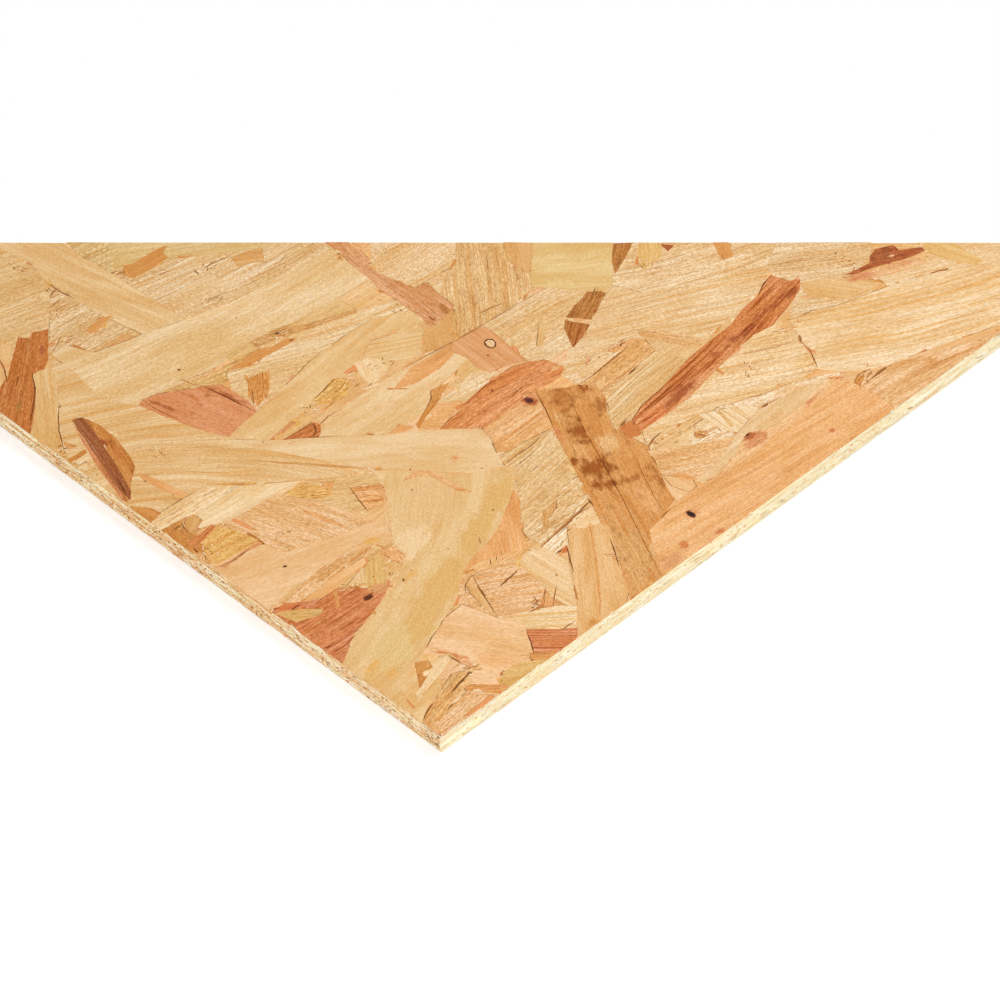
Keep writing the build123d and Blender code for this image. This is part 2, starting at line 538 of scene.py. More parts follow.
    "knotHeart": drawn("pale", (1, 0.4), [(485.3, 341.7), (488, 339.7), (492, 340), (494.8, 342.6),
        (494.5, 345.8), (491, 347.2), (487, 345.4)], kept=True),
    "whiteBits": drawn("cream", (1, -0.7), [(578, 374), (596, 352), (612, 351), (628, 344), (608, 363),
        (588, 380)]),
    "raggedPeach": drawn("apricot", (1, -0.4), [(607, 350), (620, 345), (633, 338), (642, 339),
        (627, 346), (615, 352)]),
    "salmonCurve": drawn("salmon", (1, -0.7), [(436, 432), (452, 418), (462, 406), (470, 398), (483, 386),
        (498, 375), (512, 366), (530, 361), (547, 360), (563, 366), (563, 371), (553, 381), (538, 388),
        (515, 405), (498, 416), (485, 430)], lined=0.4, rings=0.5, spacing=7, curve=0.003, apex=-10,
        blots=0.15, torn=0.9, marks=[(555, 368, 4, 3, "peach", 1.0), (492, 391, 2, 1, "russet", 1.0)]),
    "rayedUpper": drawn("peach", (1, -0.75), [(482, 430), (500, 414), (515, 404), (538, 387), (546, 405),
        (552, 425), (562, 442), (530, 455), (505, 470), (497, 452), (490, 438)], rings=0.6, spacing=5,
        torn=0.6, lined=0.35, marks=[(529, 399, 8, 5.5, "coral", 1.1),
        (529, 400, 6.0, 4.6, "cocoa", 1.6, (1, 0.45)), (529, 400, 4.4, 3.4, "eye", 2.0, (1, 0.45))]),
    "rayed": drawn("wheat", (1, -0.82), [(495, 458), (548, 430), (560, 440), (576, 470), (591, 497),
        (575, 513), (558, 529), (543, 546), (532, 540), (522, 531), (519, 505), (518, 485), (514, 470)],
        rings=0.7, spacing=4, torn=0.6, lined=0.35),
    "rayedPale": drawn("cream", (1, -0.72), [(551, 502), (574, 474), (588, 488), (590, 500), (572, 516),
        (556, 531), (545, 545), (530, 539), (522, 531)], rings=0.9, spacing=2.4, torn=0.9, lined=0.4),
    "tanChip": drawn("fawn", (0, 1), [(543, 513), (557, 499), (556, 507), (549, 518), (546, 533),
        (543, 525)]),
    "paleRidge": drawn("pale", (1, -0.8), [(523, 530), (534, 519), (543, 511), (543, 514), (526, 532)],
        kept=True),
    "paleSmall": drawn("white", (1, -0.9), [(542, 547), (566, 524), (568, 546), (556, 553)]),
    "whitePiece": drawn("pale", (1, -0.3), [(565, 526), (577, 513), (591, 505), (602, 523), (595, 526),
        (590, 522), (584, 528)], proud=0.08),
    "redChip": drawn("rust", (1, -0.6), [(558, 552), (567, 544), (569, 551), (563, 553)]),
    "creamUpper": drawn("tan", (1, -0.72), [(577, 386), (602, 366), (633, 340), (646, 341), (657, 351),
        (647, 365), (627, 378), (607, 400), (595, 385)], rings=0.5, torn=0.9, lined=0.4),
    "creamLower": drawn("wheat", (1, -0.82), [(607, 400), (628, 374), (655, 351), (684, 358), (687, 361),
        (660, 390), (643, 404), (630, 420), (618, 428), (611, 422)], rings=0.5, proud=0.04),
    "stainedBrown": drawn("ginger", (0.5, 1), [(536, 391), (568, 387), (577, 385), (595, 385), (606, 397),
        (607, 413), (613, 428), (630, 437), (648, 446), (655, 462), (665, 482), (675, 498), (662, 517),
        (652, 527), (650, 545), (664, 580), (633, 604), (620, 565), (610, 540), (600, 522), (590, 497),
        (575, 470), (558, 438), (545, 410)], rings=0.15, blots=0.45, lined=0.1, proud=0.05, torn=0.5,
        marks=[(560, 398, 15, 11, "umber", 0.75), (583, 389, 5, 9, "stain", 0.7),
        (601, 406, 10, 7, "umber", 0.75), (578, 430, 13, 7, "stain", 0.85),
        (556, 432, 12, 3.5, "coral", 0.8), (574, 462, 8, 5, "stain", 0.75),
        (597, 467, 12, 13, "stain", 0.9), (607, 484, 5, 13, "stain", 0.85),
        (627, 480, 4, 14, "umber", 0.7), (608, 443, 10, 8, "tan", 1.1), (558, 419, 9, 4, "fawn", 0.8),
        (630, 555, 44, 16, "fawn", 1.0), (646, 500, 18, 7, "apricot", 0.9),
        (657, 476, 14, 4, "umber", 0.7), (648, 577, 9, 7, "amber", 0.8)]),
    "verticalTan": drawn("tan", (0.14, 1), [(567, 526), (584, 528), (601, 523), (610, 526), (613, 540),
        (620, 565), (629, 593), (624, 608), (576, 645), (576, 606), (574, 585), (570, 550)], rings=0.25,
        spacing=12, proud=0.05, torn=0.15, lined=0.1, marks=[(593, 622, 5, 3, "amber", 0.9)]),
    "uprightLine": drawn("ginger", (0.14, 1), [(589, 526), (590.5, 526), (597, 560), (601, 600),
        (601, 626), (598.5, 628), (599, 600), (595, 560)], kept=True),
    "wedge": drawn("clay", (1, -0.7), [(624, 608), (629, 593), (638, 600)]),
    "rightTopWheat": drawn("cream", (1, -0.1), [(783, 225), (872, 228), (870, 256), (858, 273),
        (880, 276), (857, 299), (835, 307), (813, 311), (788, 320), (798, 281), (772, 276), (768, 264)],
        torn=0.9, lined=0.4),
    "goldenPatch": drawn("honey", (1, 0.2), [(800, 284), (830, 277), (876, 280), (870, 291), (850, 299),
        (808, 297)], rings=0.6),
    "topRightCream": drawn("cream", (1, -0.25), [(898, 226), (1020, 226), (1020, 262), (940, 272),
        (888, 286), (878, 276), (925, 262), (930, 250)], rings=0.4),
    "tanTopRight": drawn("olive", (1, 0.35), [(908, 232), (945, 236), (970, 253), (984, 260), (976, 265),
        (950, 260), (930, 253)], rings=0.3),
    "redTail": drawn("blush", (1, -0.3), [(843, 278), (870, 270), (915, 257), (927, 262), (890, 275),
        (850, 282)], marks=[(862, 276, 16, 4, "rose", 1.0), (900, 264, 16, 4, "pink", 0.9)]),
    "redKnotPatch": drawn("cocoa", (1, -0.25), [(870, 256), (875, 249), (893, 245), (899, 250),
        (922, 247), (925, 250), (912, 256), (890, 263), (872, 268), (858, 273), (844, 275), (855, 270),
        (869, 263)], rings=0.3, spacing=3, blots=0.8, lined=0.6, proud=0.03, torn=0.9,
        marks=[(885, 254, 14, 6, "plum", 0.8), (892, 256, 2.2, 1.5, "peach", 1.8)]),
    "ringedPale": drawn("pale", (1, -0.27), [(790, 320), (813, 310), (835, 306), (857, 298), (887, 286),
        (940, 271), (1020, 260), (1020, 318), (940, 345), (898, 361), (873, 368), (840, 372), (818, 368),
        (810, 348), (800, 338)], rings=1.0, spacing=3.6, proud=0.04, torn=0.35, lined=0.1),
    "narrowPale": drawn("blush", (1, -0.35), [(838, 373), (873, 368), (898, 361), (940, 345), (1020, 318),
        (1020, 325), (930, 353), (895, 363), (857, 388)]),
    "amberRight": drawn("blush", (1, -0.42), [(857, 388), (895, 362), (930, 353), (968, 343), (1020, 322),
        (1020, 345), (895, 418), (888, 402), (872, 391)], rings=0.7, spacing=6,
        marks=[(930, 362, 12, 5, "amber", 0.6)]),
    "rustSliver": drawn("amber", (-0.4, 1), [(852, 387), (858, 374), (865, 370), (861, 385)]),
    "honeyMid": drawn("pale", (1, -0.22), [(690, 397), (720, 366), (745, 345), (753, 335), (773, 325),
        (795, 331), (801, 340), (818, 368), (800, 379), (760, 395), (730, 403), (700, 413), (664, 430),
        (646, 442), (642, 430)], rings=0.6, spacing=4, torn=0.6, lined=0.35),
    "paleRight": drawn("white", (1, -0.4), [(690, 428), (720, 406), (760, 395), (800, 379), (838, 372),
        (848, 379), (826, 384), (800, 389), (770, 401), (745, 416), (735, 438), (715, 448), (688, 447)],
        rings=0.3, torn=0.9, lined=0.4),
    "grassyPatch": drawn("pale", (1, 0.8), [(698, 414), (745, 404), (762, 408), (740, 433), (722, 428),
        (706, 421)], rings=0.5),
    "paleTwist": drawn("cream", (1, -0.75), [(694, 480), (712, 460), (722, 446), (738, 432), (760, 408),
        (800, 386), (824, 382), (807, 401), (783, 424), (762, 434), (745, 448), (728, 466), (706, 484)],
        rings=0.25, torn=0.12),
    "whiteBlock": drawn("blush", (1, -0.25), [(646, 450), (690, 445), (735, 437), (722, 456), (708, 471),
        (694, 480), (664, 475), (655, 460)]),
    "creamBlock": drawn("blush", (1, 0.5), [(661, 475), (692, 479), (697, 487), (690, 493), (677, 502),
        (668, 490)], rings=0.4),
    "grassyStripe": drawn("wheat", (1, 0.9), [(717, 411), (720, 410), (734, 425), (731, 427)], kept=True),
    "coralCrumbs": drawn("ginger", (1, -0.3), [(694, 434), (699, 430), (705, 431), (709, 434), (704, 438),
        (697, 438)], torn=1.0, blots=0.6, lined=0.6),
    "peachSliver": drawn("apricot", (1, 0.2), [(668, 474), (685, 473), (697, 479), (690, 481)], kept=True),
    "tanKnotStrand": drawn("peach", (1, -0.62), [(664, 580), (652, 545), (650, 530), (662, 517),
        (675, 502), (695, 488), (713, 478), (728, 466), (745, 453), (758, 445), (783, 424), (807, 401),
        (822, 385), (835, 377), (847, 380), (872, 391), (890, 403), (897, 412)], rings=0.5, spacing=6,
        proud=0.05, lined=0.25, torn=0.35, marks=[(691, 514, 7, 5, "coral", 0.8),
        (691, 514, 3.4, 2.0, "soot", 2.2, (1, 0.6)), (832, 430, 2.6, 2.0, "coral", 0.9),
        (684, 545, 4.4, 3.4, "clay", 1.0), (720, 531, 5, 3.5, "coral", 0.9),
        (672, 560, 14, 8, "pink", 0.7), (800, 472, 34, 5, "apricot", 1.1),
        (868, 424, 30, 4, "apricot", 1.0)]),
    "pinkRim": drawn("blush", (1, -0.75), [(716, 480), (727, 466), (738, 450), (743, 438), (748, 432),
        (757, 431), (768, 428), (778, 424), (792, 412), (806, 400), (824, 382), (836, 377), (826, 390),
        (808, 405), (790, 422), (766, 443), (740, 463)], rings=0.5, spacing=2.5,
        marks=[(757, 438, 11, 6, "rose", 1.0), (750, 436, 5, 4.6, "cocoa", 1.2, (1, 0.3)),
        (748, 435, 3.2, 2.8, "bark", 1.3, (1, 0.3)), (815, 399, 10, 3, "rose", 0.8)]),
    "rustStrip": drawn("clay", (1, -0.86), [(772, 275), (790, 281), (800, 278), (800, 288), (793, 300),
        (773, 325), (753, 335), (740, 346), (720, 366), (700, 385), (690, 396), (668, 413), (642, 430),
        (632, 420), (643, 404), (660, 390), (686, 360), (698, 350), (710, 340), (730, 325), (745, 306),
        (758, 295), (763, 283)], rings=0.5, spacing=3.2, torn=1.0, lined=1.0, proud=0.07,
        marks=[(682, 392, 30, 3.0, "russet", 1.0), (735, 340, 24, 3.2, "russet", 0.9),
        (655, 418, 16, 8, "rust", 0.9), (792, 293, 9, 2.4, "russet", 1.0),
        (771, 306, 18, 2.6, "russet", 0.6), (775, 284, 6, 4, "clay", 0.6)]),
    "brownBit": drawn("clay", (0.6, 1), [(618, 428), (630, 420), (642, 428), (641, 434), (630, 438)],
        blots=0.7),
    "paleLevel": drawn("cream", (1, -0.05), [(226, 439), (268, 440), (300, 438), (320, 437), (385, 434),
        (440, 429), (481, 428), (490, 437), (495, 450), (503, 464), (515, 470), (470, 474), (430, 472),
        (400, 470), (374, 471), (345, 464), (300, 456), (262, 448)], rings=0.12, spacing=9, torn=0.0,
        lined=0.0, marks=[(455, 458, 4, 5, "salmon", 0.75)]),
    "amberLine": drawn("fawn", (1, 0.06), [(245, 460), (300, 462), (340, 465), (374, 469), (340, 467.5),
        (300, 464.5)], kept=True),
    "amberLineTwo": drawn("gold", (1, -0.04), [(190, 485), (250, 482), (276, 482), (250, 484.5)],
        kept=True),
    "greyMid": drawn("wheat", (1, -0.1), [(296, 480), (345, 476), (376, 470), (386, 486), (380, 505),
        (366, 513), (335, 505), (300, 498)], rings=0.3),
    "goldRough": drawn("gold", (1, -0.1), [(284, 493), (302, 483), (330, 486), (332, 494), (318, 498),
        (296, 497)], torn=1.0, blots=0.1),
    "pinkFleck": drawn("apricot", (1, 0), [(321, 482), (334, 481), (333, 488), (324, 488)]),
    "oliveFlow": drawn("wheat", (-0.6, 1), [(374, 470), (400, 469), (430, 471), (470, 473), (505, 466),
        (518, 468), (514, 488), (506, 508), (498, 528), (484, 546), (470, 560), (462, 574), (460, 592),
        (448, 615), (436, 630), (428, 643), (424, 656), (412, 668), (402, 690), (420, 726), (340, 666),
        (354, 634), (380, 602), (396, 584), (402, 562), (392, 541), (388, 528), (384, 505), (382, 486)],
        rings=0.08, spacing=9, curve=0.002, apex=20, torn=0.1, lined=0.0,
        marks=[(424, 500, 26, 20, "wheat", 1.3), (412, 540, 20, 10, "pale", 1.3),
        (498, 496, 20, 8, "olive", 1.5), (474, 535, 24, 7, "olive", 1.6),
        (446, 580, 24, 10, "olive", 1.6), (420, 622, 22, 9, "olive", 1.3),
        (395, 645, 24, 12, "grassy", 1.3), (392, 672, 7, 3, "gold", 1.0), (373, 666, 10, 4, "gold", 0.8),
        (410, 576, 8, 3, "gold", 0.7)]),
    "amberWave": drawn("peach", (1, 0.3), [(404, 480), (414, 472), (428, 470), (444, 477), (460, 487),
        (472, 491), (458, 490), (442, 481), (428, 474), (415, 476)], kept=True),
    "peachSquare": drawn("apricot", (1, -0.1), [(350, 487), (382, 484), (388, 500), (367, 511),
        (357, 498)], rings=0.3),
    "amberHem": drawn("blush", (0.3, 1), [(382, 486), (386, 497), (391, 520), (392, 538), (384, 546),
        (389, 537), (388, 520), (384, 500)], kept=True),
    "pinkTorn": drawn("peach", (1, 0.6), [(378, 553), (394, 544), (406, 556), (398, 563)], torn=1.0),
    "grassyRibs": drawn("olive", (0.04, 1), [(365, 562), (383, 554), (386, 584), (366, 590)], rings=0.9,
        spacing=3),
    "tanBig": drawn("blush", (1, 0.36), [(222, 522), (262, 500), (300, 498), (335, 507), (374, 520),
        (348, 532), (300, 547), (282, 553), (262, 543), (240, 534)], rings=0.3),
    "salmonStreak": drawn("salmon", (1, 0.42), [(228, 516), (242, 521), (258, 531), (248, 529),
        (232, 521)], kept=True),
    "salmonStreakTwo": drawn("peach", (1, 0.35), [(300, 508), (320, 513), (346, 527), (328, 522),
        (306, 513)], kept=True),
    "salmonStreakThree": drawn("fawn", (1, 0.35), [(264, 500), (280, 500), (296, 507), (282, 505)],
        kept=True),
    "honeyLower": drawn("blush", (1, -0.34), [(208, 566), (240, 552), (262, 543), (285, 552), (330, 538),
        (374, 520), (388, 528), (392, 540), (370, 546), (345, 554), (318, 571), (300, 584), (280, 601),
        (262, 612)], rings=0.15, spacing=7, torn=0.0, lined=0.0, marks=[(285, 566, 1.6, 1.0, "bark", 1.6),
        (372, 540, 10, 3, "gold", 0.8)]),
    "honeyStripe": drawn("blush", (1, -0.72), [(264, 612), (283, 598), (300, 584), (340, 556), (372, 546),
        (366, 557), (340, 577), (320, 592), (300, 605), (285, 609)], rings=0.9, spacing=3),
    "goldStripe": drawn("peach", (1, -0.75), [(298, 606), (335, 575), (364, 556), (367, 562), (350, 576),
        (336, 589), (318, 600)], rings=0.6),
    "paleRidgeLow": drawn("honey", (1, -0.75), [(282, 597), (300, 582), (302, 584), (286, 599)], kept=True),
    "paleTriangle": drawn("cream", (0.2, 1), [(363, 565), (366, 582), (348, 585)]),
    "orangeBrown": drawn("coral", (1, -0.62), [(266, 614), (285, 604), (302, 602), (320, 600), (337, 588),
        (365, 588), (389, 582), (386, 592), (380, 602), (354, 634), (341, 668), (324, 650), (296, 629)],
        lined=0.8, rings=0.5, spacing=6, proud=0.04, blots=0.2, torn=0.9,
        marks=[(368, 597, 3.6, 2.2, "bark", 1.6), (372, 590, 8, 4, "salmon", 0.9),
        (315, 628, 14, 3, "burnt", 0.9), (345, 648, 10, 4, "coral", 0.8)]),
    "rustEdge": drawn("rust", (1, -0.3), [(268, 610), (285, 604), (302, 601), (293, 609), (280, 610)]),
    "pinkTip": drawn("pink", (1, -0.5), [(366, 589), (374, 584), (390, 582), (384, 594), (374, 592)]),
    "goldInset": drawn("olive", (1, -0.1), [(274, 613), (300, 608), (323, 608), (320, 615), (296, 622)]),
    "foldTan": drawn("ginger", (0.2, 1), [(333, 591), (337, 590), (340, 605), (336, 609), (335, 600)],
        kept=True),
    "paleNarrow": drawn("pale", (1, -0.55), [(146, 522), (160, 513), (180, 500), (205, 486), (242, 485),
        (230, 492), (206, 507), (180, 520), (162, 530)], rings=0.4, proud=0.05),
    "paleNarrowTwo": drawn("pale", (1, -0.5), [(182, 522), (206, 507), (240, 486), (302, 480), (285, 491),
        (262, 500), (240, 512), (222, 522), (200, 528)], rings=0.4, proud=0.05),
    # painted highlight: a pale sliver along the lit lower border of paleNarrowTwo
    "paleHem": drawn("cream", (1, -0.5), [(220, 522), (240, 511), (262, 499), (302, 480), (264, 501),
        (242, 514), (223, 524)], kept=True, proud=0.08),
    "brownCorner": drawn("amber", (1, 0.7), [(160, 530), (180, 520), (194, 530), (200, 541), (206, 554),
        (188, 552)], blots=0.4, lined=0.4, rings=0.4),
    "amberFan": drawn("fawn", (-0.4, 1), [(180, 519), (195, 514), (203, 520), (193, 534), (185, 528)],
        rings=0.9, spacing=2),
    "goldPiece": drawn("gold", (1, -0.45), [(203, 541), (215, 526), (230, 528), (259, 540), (246, 548),
        (230, 557), (218, 564), (206, 560)], rings=0.7, torn=0.8),
    "coralStrip": drawn("clay", (1, -0.8), [(188, 542), (212, 524), (216, 527), (203, 541), (194, 547)],
        lined=0.8, kept=True),
    "coralHem": drawn("pink", (1, -0.5), [(217, 567), (230, 560), (258, 541), (263, 543), (240, 555),
        (224, 569)], kept=True),
    "tanTriangle": drawn("amber", (1, 0.4), [(130, 506), (150, 508), (161, 513), (150, 523)]),
    "cigar": drawn("amber", (0.62, 1), [(73, 421), (80, 417), (88, 419), (100, 425), (115, 437),
        (130, 456), (135, 466), (131, 484), (131, 499), (125, 501), (112, 482), (97, 457), (84, 438)],
        rings=0.3, blots=0.6, lined=0.6, proud=0.03, torn=0.8, marks=[(105, 442, 6, 3, "russet", 0.9),
        (118, 452, 12, 4, "burnt", 0.8)]),
    "cigarDark": drawn("plum", (0.6, 1), [(72, 420), (83, 417), (100, 440), (118, 467), (131, 491),
        (130, 500), (118, 488), (100, 461)], rings=0.35, spacing=2.5, lined=0.4, proud=0.06, torn=1.0),
    "cigarRim": drawn("rose", (0.62, 1), [(71, 421), (100, 461), (128, 502), (122, 500), (95, 463)],
        kept=True, lined=0.5),
    "pinkVertical": drawn("apricot", (0.2, 1), [(514, 488), (520, 500), (521, 530), (530, 549),
        (500, 555), (476, 563), (462, 575), (470, 560), (484, 546), (498, 528), (506, 508)],
        marks=[(507, 559, 14, 3.2, "clay", 1.1, (1, -0.25))]),
    "foldedTan": drawn("blush", (1, -0.22), [(460, 580), (470, 571), (500, 561), (520, 560), (548, 590),
        (532, 612), (497, 617), (470, 608), (459, 594)], rings=0.9, spacing=4, torn=0.9, lined=0.4),
    "paleFacet": drawn("cream", (1, 0.55), [(518, 562), (530, 549), (545, 547), (568, 560), (574, 590),
        (577, 606), (560, 605), (548, 591)], rings=0.5, torn=0.12),
    "fanEnd": drawn("apricot", (-0.2, 1), [(545, 591), (558, 604), (550, 608), (536, 608)]),
    "streakedLow": drawn("pale", (1, -0.1), [(498, 617), (530, 612), (540, 608), (560, 605), (577, 606),
        (577, 628), (526, 629), (515, 621)], rings=0.8, spacing=4),
    "foldSliver": drawn("tan", (0.55, 1), [(463, 578), (471, 572), (479, 590), (498, 616), (485, 608),
        (470, 592)]),
    "foldRim": drawn("tan", (-0.5, 1), [(520, 557), (500, 561), (480, 567), (469, 574), (462, 584),
        (462.5, 594), (469, 603), (481, 610), (497, 617), (481.5, 608.8), (470.5, 601.5), (464.3, 593),
        (464, 584.5), (470.5, 575.5), (481.5, 569), (501, 563)], kept=True),
    "peachFan": drawn("blush", (1, 0.1), [(424, 652), (436, 630), (448, 615), (462, 604), (497, 617),
        (520, 620), (528, 632), (534, 653), (530, 662), (515, 669), (500, 686), (480, 692), (466, 669),
        (452, 653), (436, 654)], rings=0.08, spacing=8, curve=0.004, torn=0.1, lined=0.0,
        marks=[(450, 655, 14, 3, "clay", 1.1, (1, 0.35)), (500, 660, 16, 8, "peach", 0.8)]),
    "smallBrown": drawn("coral", (1, 0.04), [(526, 629), (577, 628), (577, 645), (548, 666), (535, 654)],
        rings=0.6, spacing=3, lined=0.9, torn=0.6),
    "orangeBand": drawn("ginger", (1, 0), [(530, 653), (562, 650), (546, 664), (530, 658)]),
    "tanLow": drawn("olive", (1, -0.2), [(503, 671), (520, 662), (552, 658), (522, 690), (500, 688)],
        rings=0.5),
    "linedLow": drawn("apricot", (1, 0.02), [(465, 684), (505, 684), (515, 690), (500, 696), (466, 692)],
        rings=1.0, spacing=2.5),
    "nearTan": drawn("blush", (1, -0.75), [(424, 726), (445, 712), (468, 690), (500, 693), (512, 692),
        (442, 745)]),
    "orangeCorner": drawn("salmon", (1, -0.7), [(466, 714), (480, 703), (490, 694), (498, 699),
        (474, 720)]),
    "rustChip": drawn("amber", (-0.3, 1), [(415, 662), (428, 660), (433, 668), (420, 690), (418, 680)],
        blots=0.4),
    "creamCorner": drawn("blush", (1, -0.9), [(446, 656), (470, 667), (460, 676), (444, 680), (436, 676)]),
    "goldCorner": drawn("tan", (1, -1.1), [(420, 728), (428, 705), (440, 690), (452, 674), (470, 668),
        (481, 663), (463, 690), (450, 705), (440, 720)], rings=0.6, torn=0.9, lined=0.4,
        marks=[(443, 684, 12, 3, "honey", 1.2)]),
    "thinPale": drawn("pale", (1, -1.2), [(416, 693), (430, 672), (446, 655), (451, 658), (440, 674),
        (424, 692), (418, 702)], proud=0.1),
}

# Gaps between strands: widest opening in millimetres and the line that it follows in the photo

photoCracks = {
    "underDiagonal": (0.9, [(48, 283), (60, 291), (74, 298)]),
    "leftVoid": (1.5, [(50, 297), (53, 291), (57, 289)]),
    "leftVoidLow": (0.6, [(49, 308), (55, 303), (61, 299)]),
    "besideWheat": (0.5, [(61, 336), (56, 346), (49, 355)]),
    "besideBurnt": (0.7, [(32, 373), (35, 388), (34, 402), (30, 422)]),
    "creamSplit": (0.6, [(60, 402), (58, 415), (59, 430), (64, 450)]),
    "creamSplitTop": (1.2, [(58, 408), (61, 405)]),
    "sliverEdge": (0.7, [(-1, 358), (4, 368), (7, 382)]),
    "pinkSlit": (0.8, [(202, 385), (225, 396), (257, 412)]),
    "pinkUpper": (0.7, [(154, 394), (168, 392)]),
    "pinkLeft": (0.5, [(143, 400), (158, 410), (178, 419)]),
    "wheatCrack": (0.8, [(204, 268), (212, 262), (231, 256)]),
    "wheatNick": (1.0, [(193, 269), (199, 274)]),
    "amberVoid": (1.3, [(111, 273), (117, 271)]),
    "amberVoidLow": (1.0, [(119, 277), (128, 278)]),
    "paleSplit": (0.5, [(205, 304), (215, 297), (227, 291)]),
    "stripHighlight": (0.4, [(275, 265), (290, 252)]),
    "knotTop": (1.3, [(60, 243), (66, 244), (70, 248)]),
    "midSeam": (0.4, [(288, 383), (308, 362), (322, 351)]),
    "midSeamUpper": (0.4, [(330, 346), (345, 334)]),
    "broadUpper": (0.6, [(406, 367), (430, 353), (448, 344), (482, 326)]),
    "broadLower": (0.7, [(318, 426), (328, 416), (338, 410)]),
    "mottleSlit": (0.6, [(313, 400), (325, 388), (334, 379)]),
    "patchVoid": (1.0, [(388, 362), (394, 360)]),
    "patchTip": (0.8, [(368, 386), (372, 382)]),
    "whiteEdge": (0.6, [(440, 429), (450, 418), (463, 409)]),
    "whiteUpper": (0.8, [(466, 404), (470, 400)]),
    "rustBitSplit": (1.1, [(313, 423), (316, 430), (313, 438)]),
    "blockSlit": (0.9, [(480, 313), (490, 308), (502, 303)]),
    "blockSeam": (0.5, [(460, 337), (487, 322), (515, 305), (544, 288)]),
    "blockEdge": (0.5, [(536, 240), (534, 258), (532, 274)]),
    "curlShadow": (0.8, [(441, 272), (447, 269), (453, 268)]),
    "salmonUpper": (0.5, [(464, 405), (485, 386), (502, 376)]),
    "salmonInner": (0.5, [(508, 400), (520, 388), (528, 383)]),
    "stainedLeft": (0.6, [(536, 392), (545, 408), (553, 426)]),
    "stainedSplit": (0.32, [(568, 393), (582, 426), (606, 468), (624, 501), (642, 538), (660, 574)]),
    "stainedRight": (0.28, [(632, 451), (645, 478), (663, 513)]),
    "foldRimGap": (0.5, [(482, 570), (471, 576), (465, 585), (466, 593)]),
    "rayCrack": (0.6, [(502, 466), (516, 455), (530, 446), (547, 430)]),
    "rayCrackLow": (0.5, [(514, 468), (528, 456), (541, 444)]),
    "mainCrack": (1.6, [(542, 546), (556, 532), (567, 523), (580, 510), (591, 499)]),
    "mainCrackLow": (0.9, [(570, 519), (582, 511), (593, 505)]),
    "mainTip": (1.2, [(588, 498), (593, 505)]),
    "creamSlit": (1.1, [(628, 375), (633, 370), (639, 365)]),
    "creamShadow": (0.9, [(577, 386), (600, 369), (629, 345)]),
    "brownVoid": (1.2, [(620, 426), (627, 419)]),
    "chipVoid": (1.6, [(556, 553), (562, 548)]),
    "roughVoid": (1.3, [(648, 447), (654, 438), (661, 432)]),
    "roughVoidTwo": (0.9, [(650, 441), (660, 444)]),
    "amberVoidRight": (1.8, [(874, 376), (880, 371), (886, 366)]),
    "amberSlitRight": (0.9, [(864, 384), (878, 373), (893, 363)]),
    "ribSlitRight": (0.9, [(866, 378), (872, 370)]),
    "twistVoid": (1.5, [(762, 407), (768, 402)]),
    "twistSeam": (0.4, [(756, 410), (768, 403), (782, 396)]),
    "ringedVoid": (1.5, [(799, 334), (801, 342)]),
    "ringedSeam": (0.5, [(742, 354), (770, 348), (800, 340)]),
    "ringedEnd": (0.6, [(800, 341), (810, 350), (818, 367)]),
    "ringedTop": (0.8, [(802, 315), (812, 310)]),
    "rustUnder": (0.7, [(758, 296), (764, 283), (770, 276)]),
    "rustLow": (0.9, [(782, 330), (770, 332)]),
    "cornerSlit": (1.2, [(451, 692), (459, 683), (470, 672)]),
    "cornerSlitLow": (0.9, [(423, 720), (428, 709), (433, 703)]),
    "foldCrack": (1.1, [(500, 586), (508, 578), (518, 570)]),
    "foldSeam": (0.5, [(471, 573), (484, 595), (497, 616)]),
    "fanEdge": (0.6, [(533, 594), (537, 601), (533, 608)]),
    "fanFoot": (0.8, [(561, 630), (570, 624), (576, 620)]),
    "uprightRight": (0.7, [(610, 538), (615, 552), (619, 566)]),
    "uprightLeft": (0.6, [(567, 546), (570, 560), (574, 572)]),
    "brownFoot": (0.6, [(527, 632), (531, 642), (534, 654)]),
    "peachUnder": (0.9, [(448, 655), (455, 659), (463, 664)]),
    "goldUnder": (0.8, [(222, 566), (235, 559), (249, 549)]),
    "squareSeam": (0.6, [(349, 486), (358, 498), (368, 511)]),
    "cornerSlot": (0.9, [(173, 530), (182, 524)]),
    "orangeSlit": (0.8, [(324, 649), (332, 645)]),
    "orangeSlitTwo": (0.8, [(332, 653), (345, 645), (356, 634)]),
    "orangeUpper": (1.0, [(291, 610), (300, 604)]),
    "orangeLeft": (0.9, [(266, 612), (280, 607)]),
    "blockRim": (0.5, [(662, 475), (672, 486), (690, 492), (697, 486), (693, 479)]),
    "knotStrandSeam": (0.4, [(660, 519), (668, 511), (674, 506)]),
    "flowFoot": (0.5, [(426, 648), (432, 636), (438, 629)]),
    "narrowUpper": (0.4, [(166, 509), (182, 499), (204, 486)]),
}

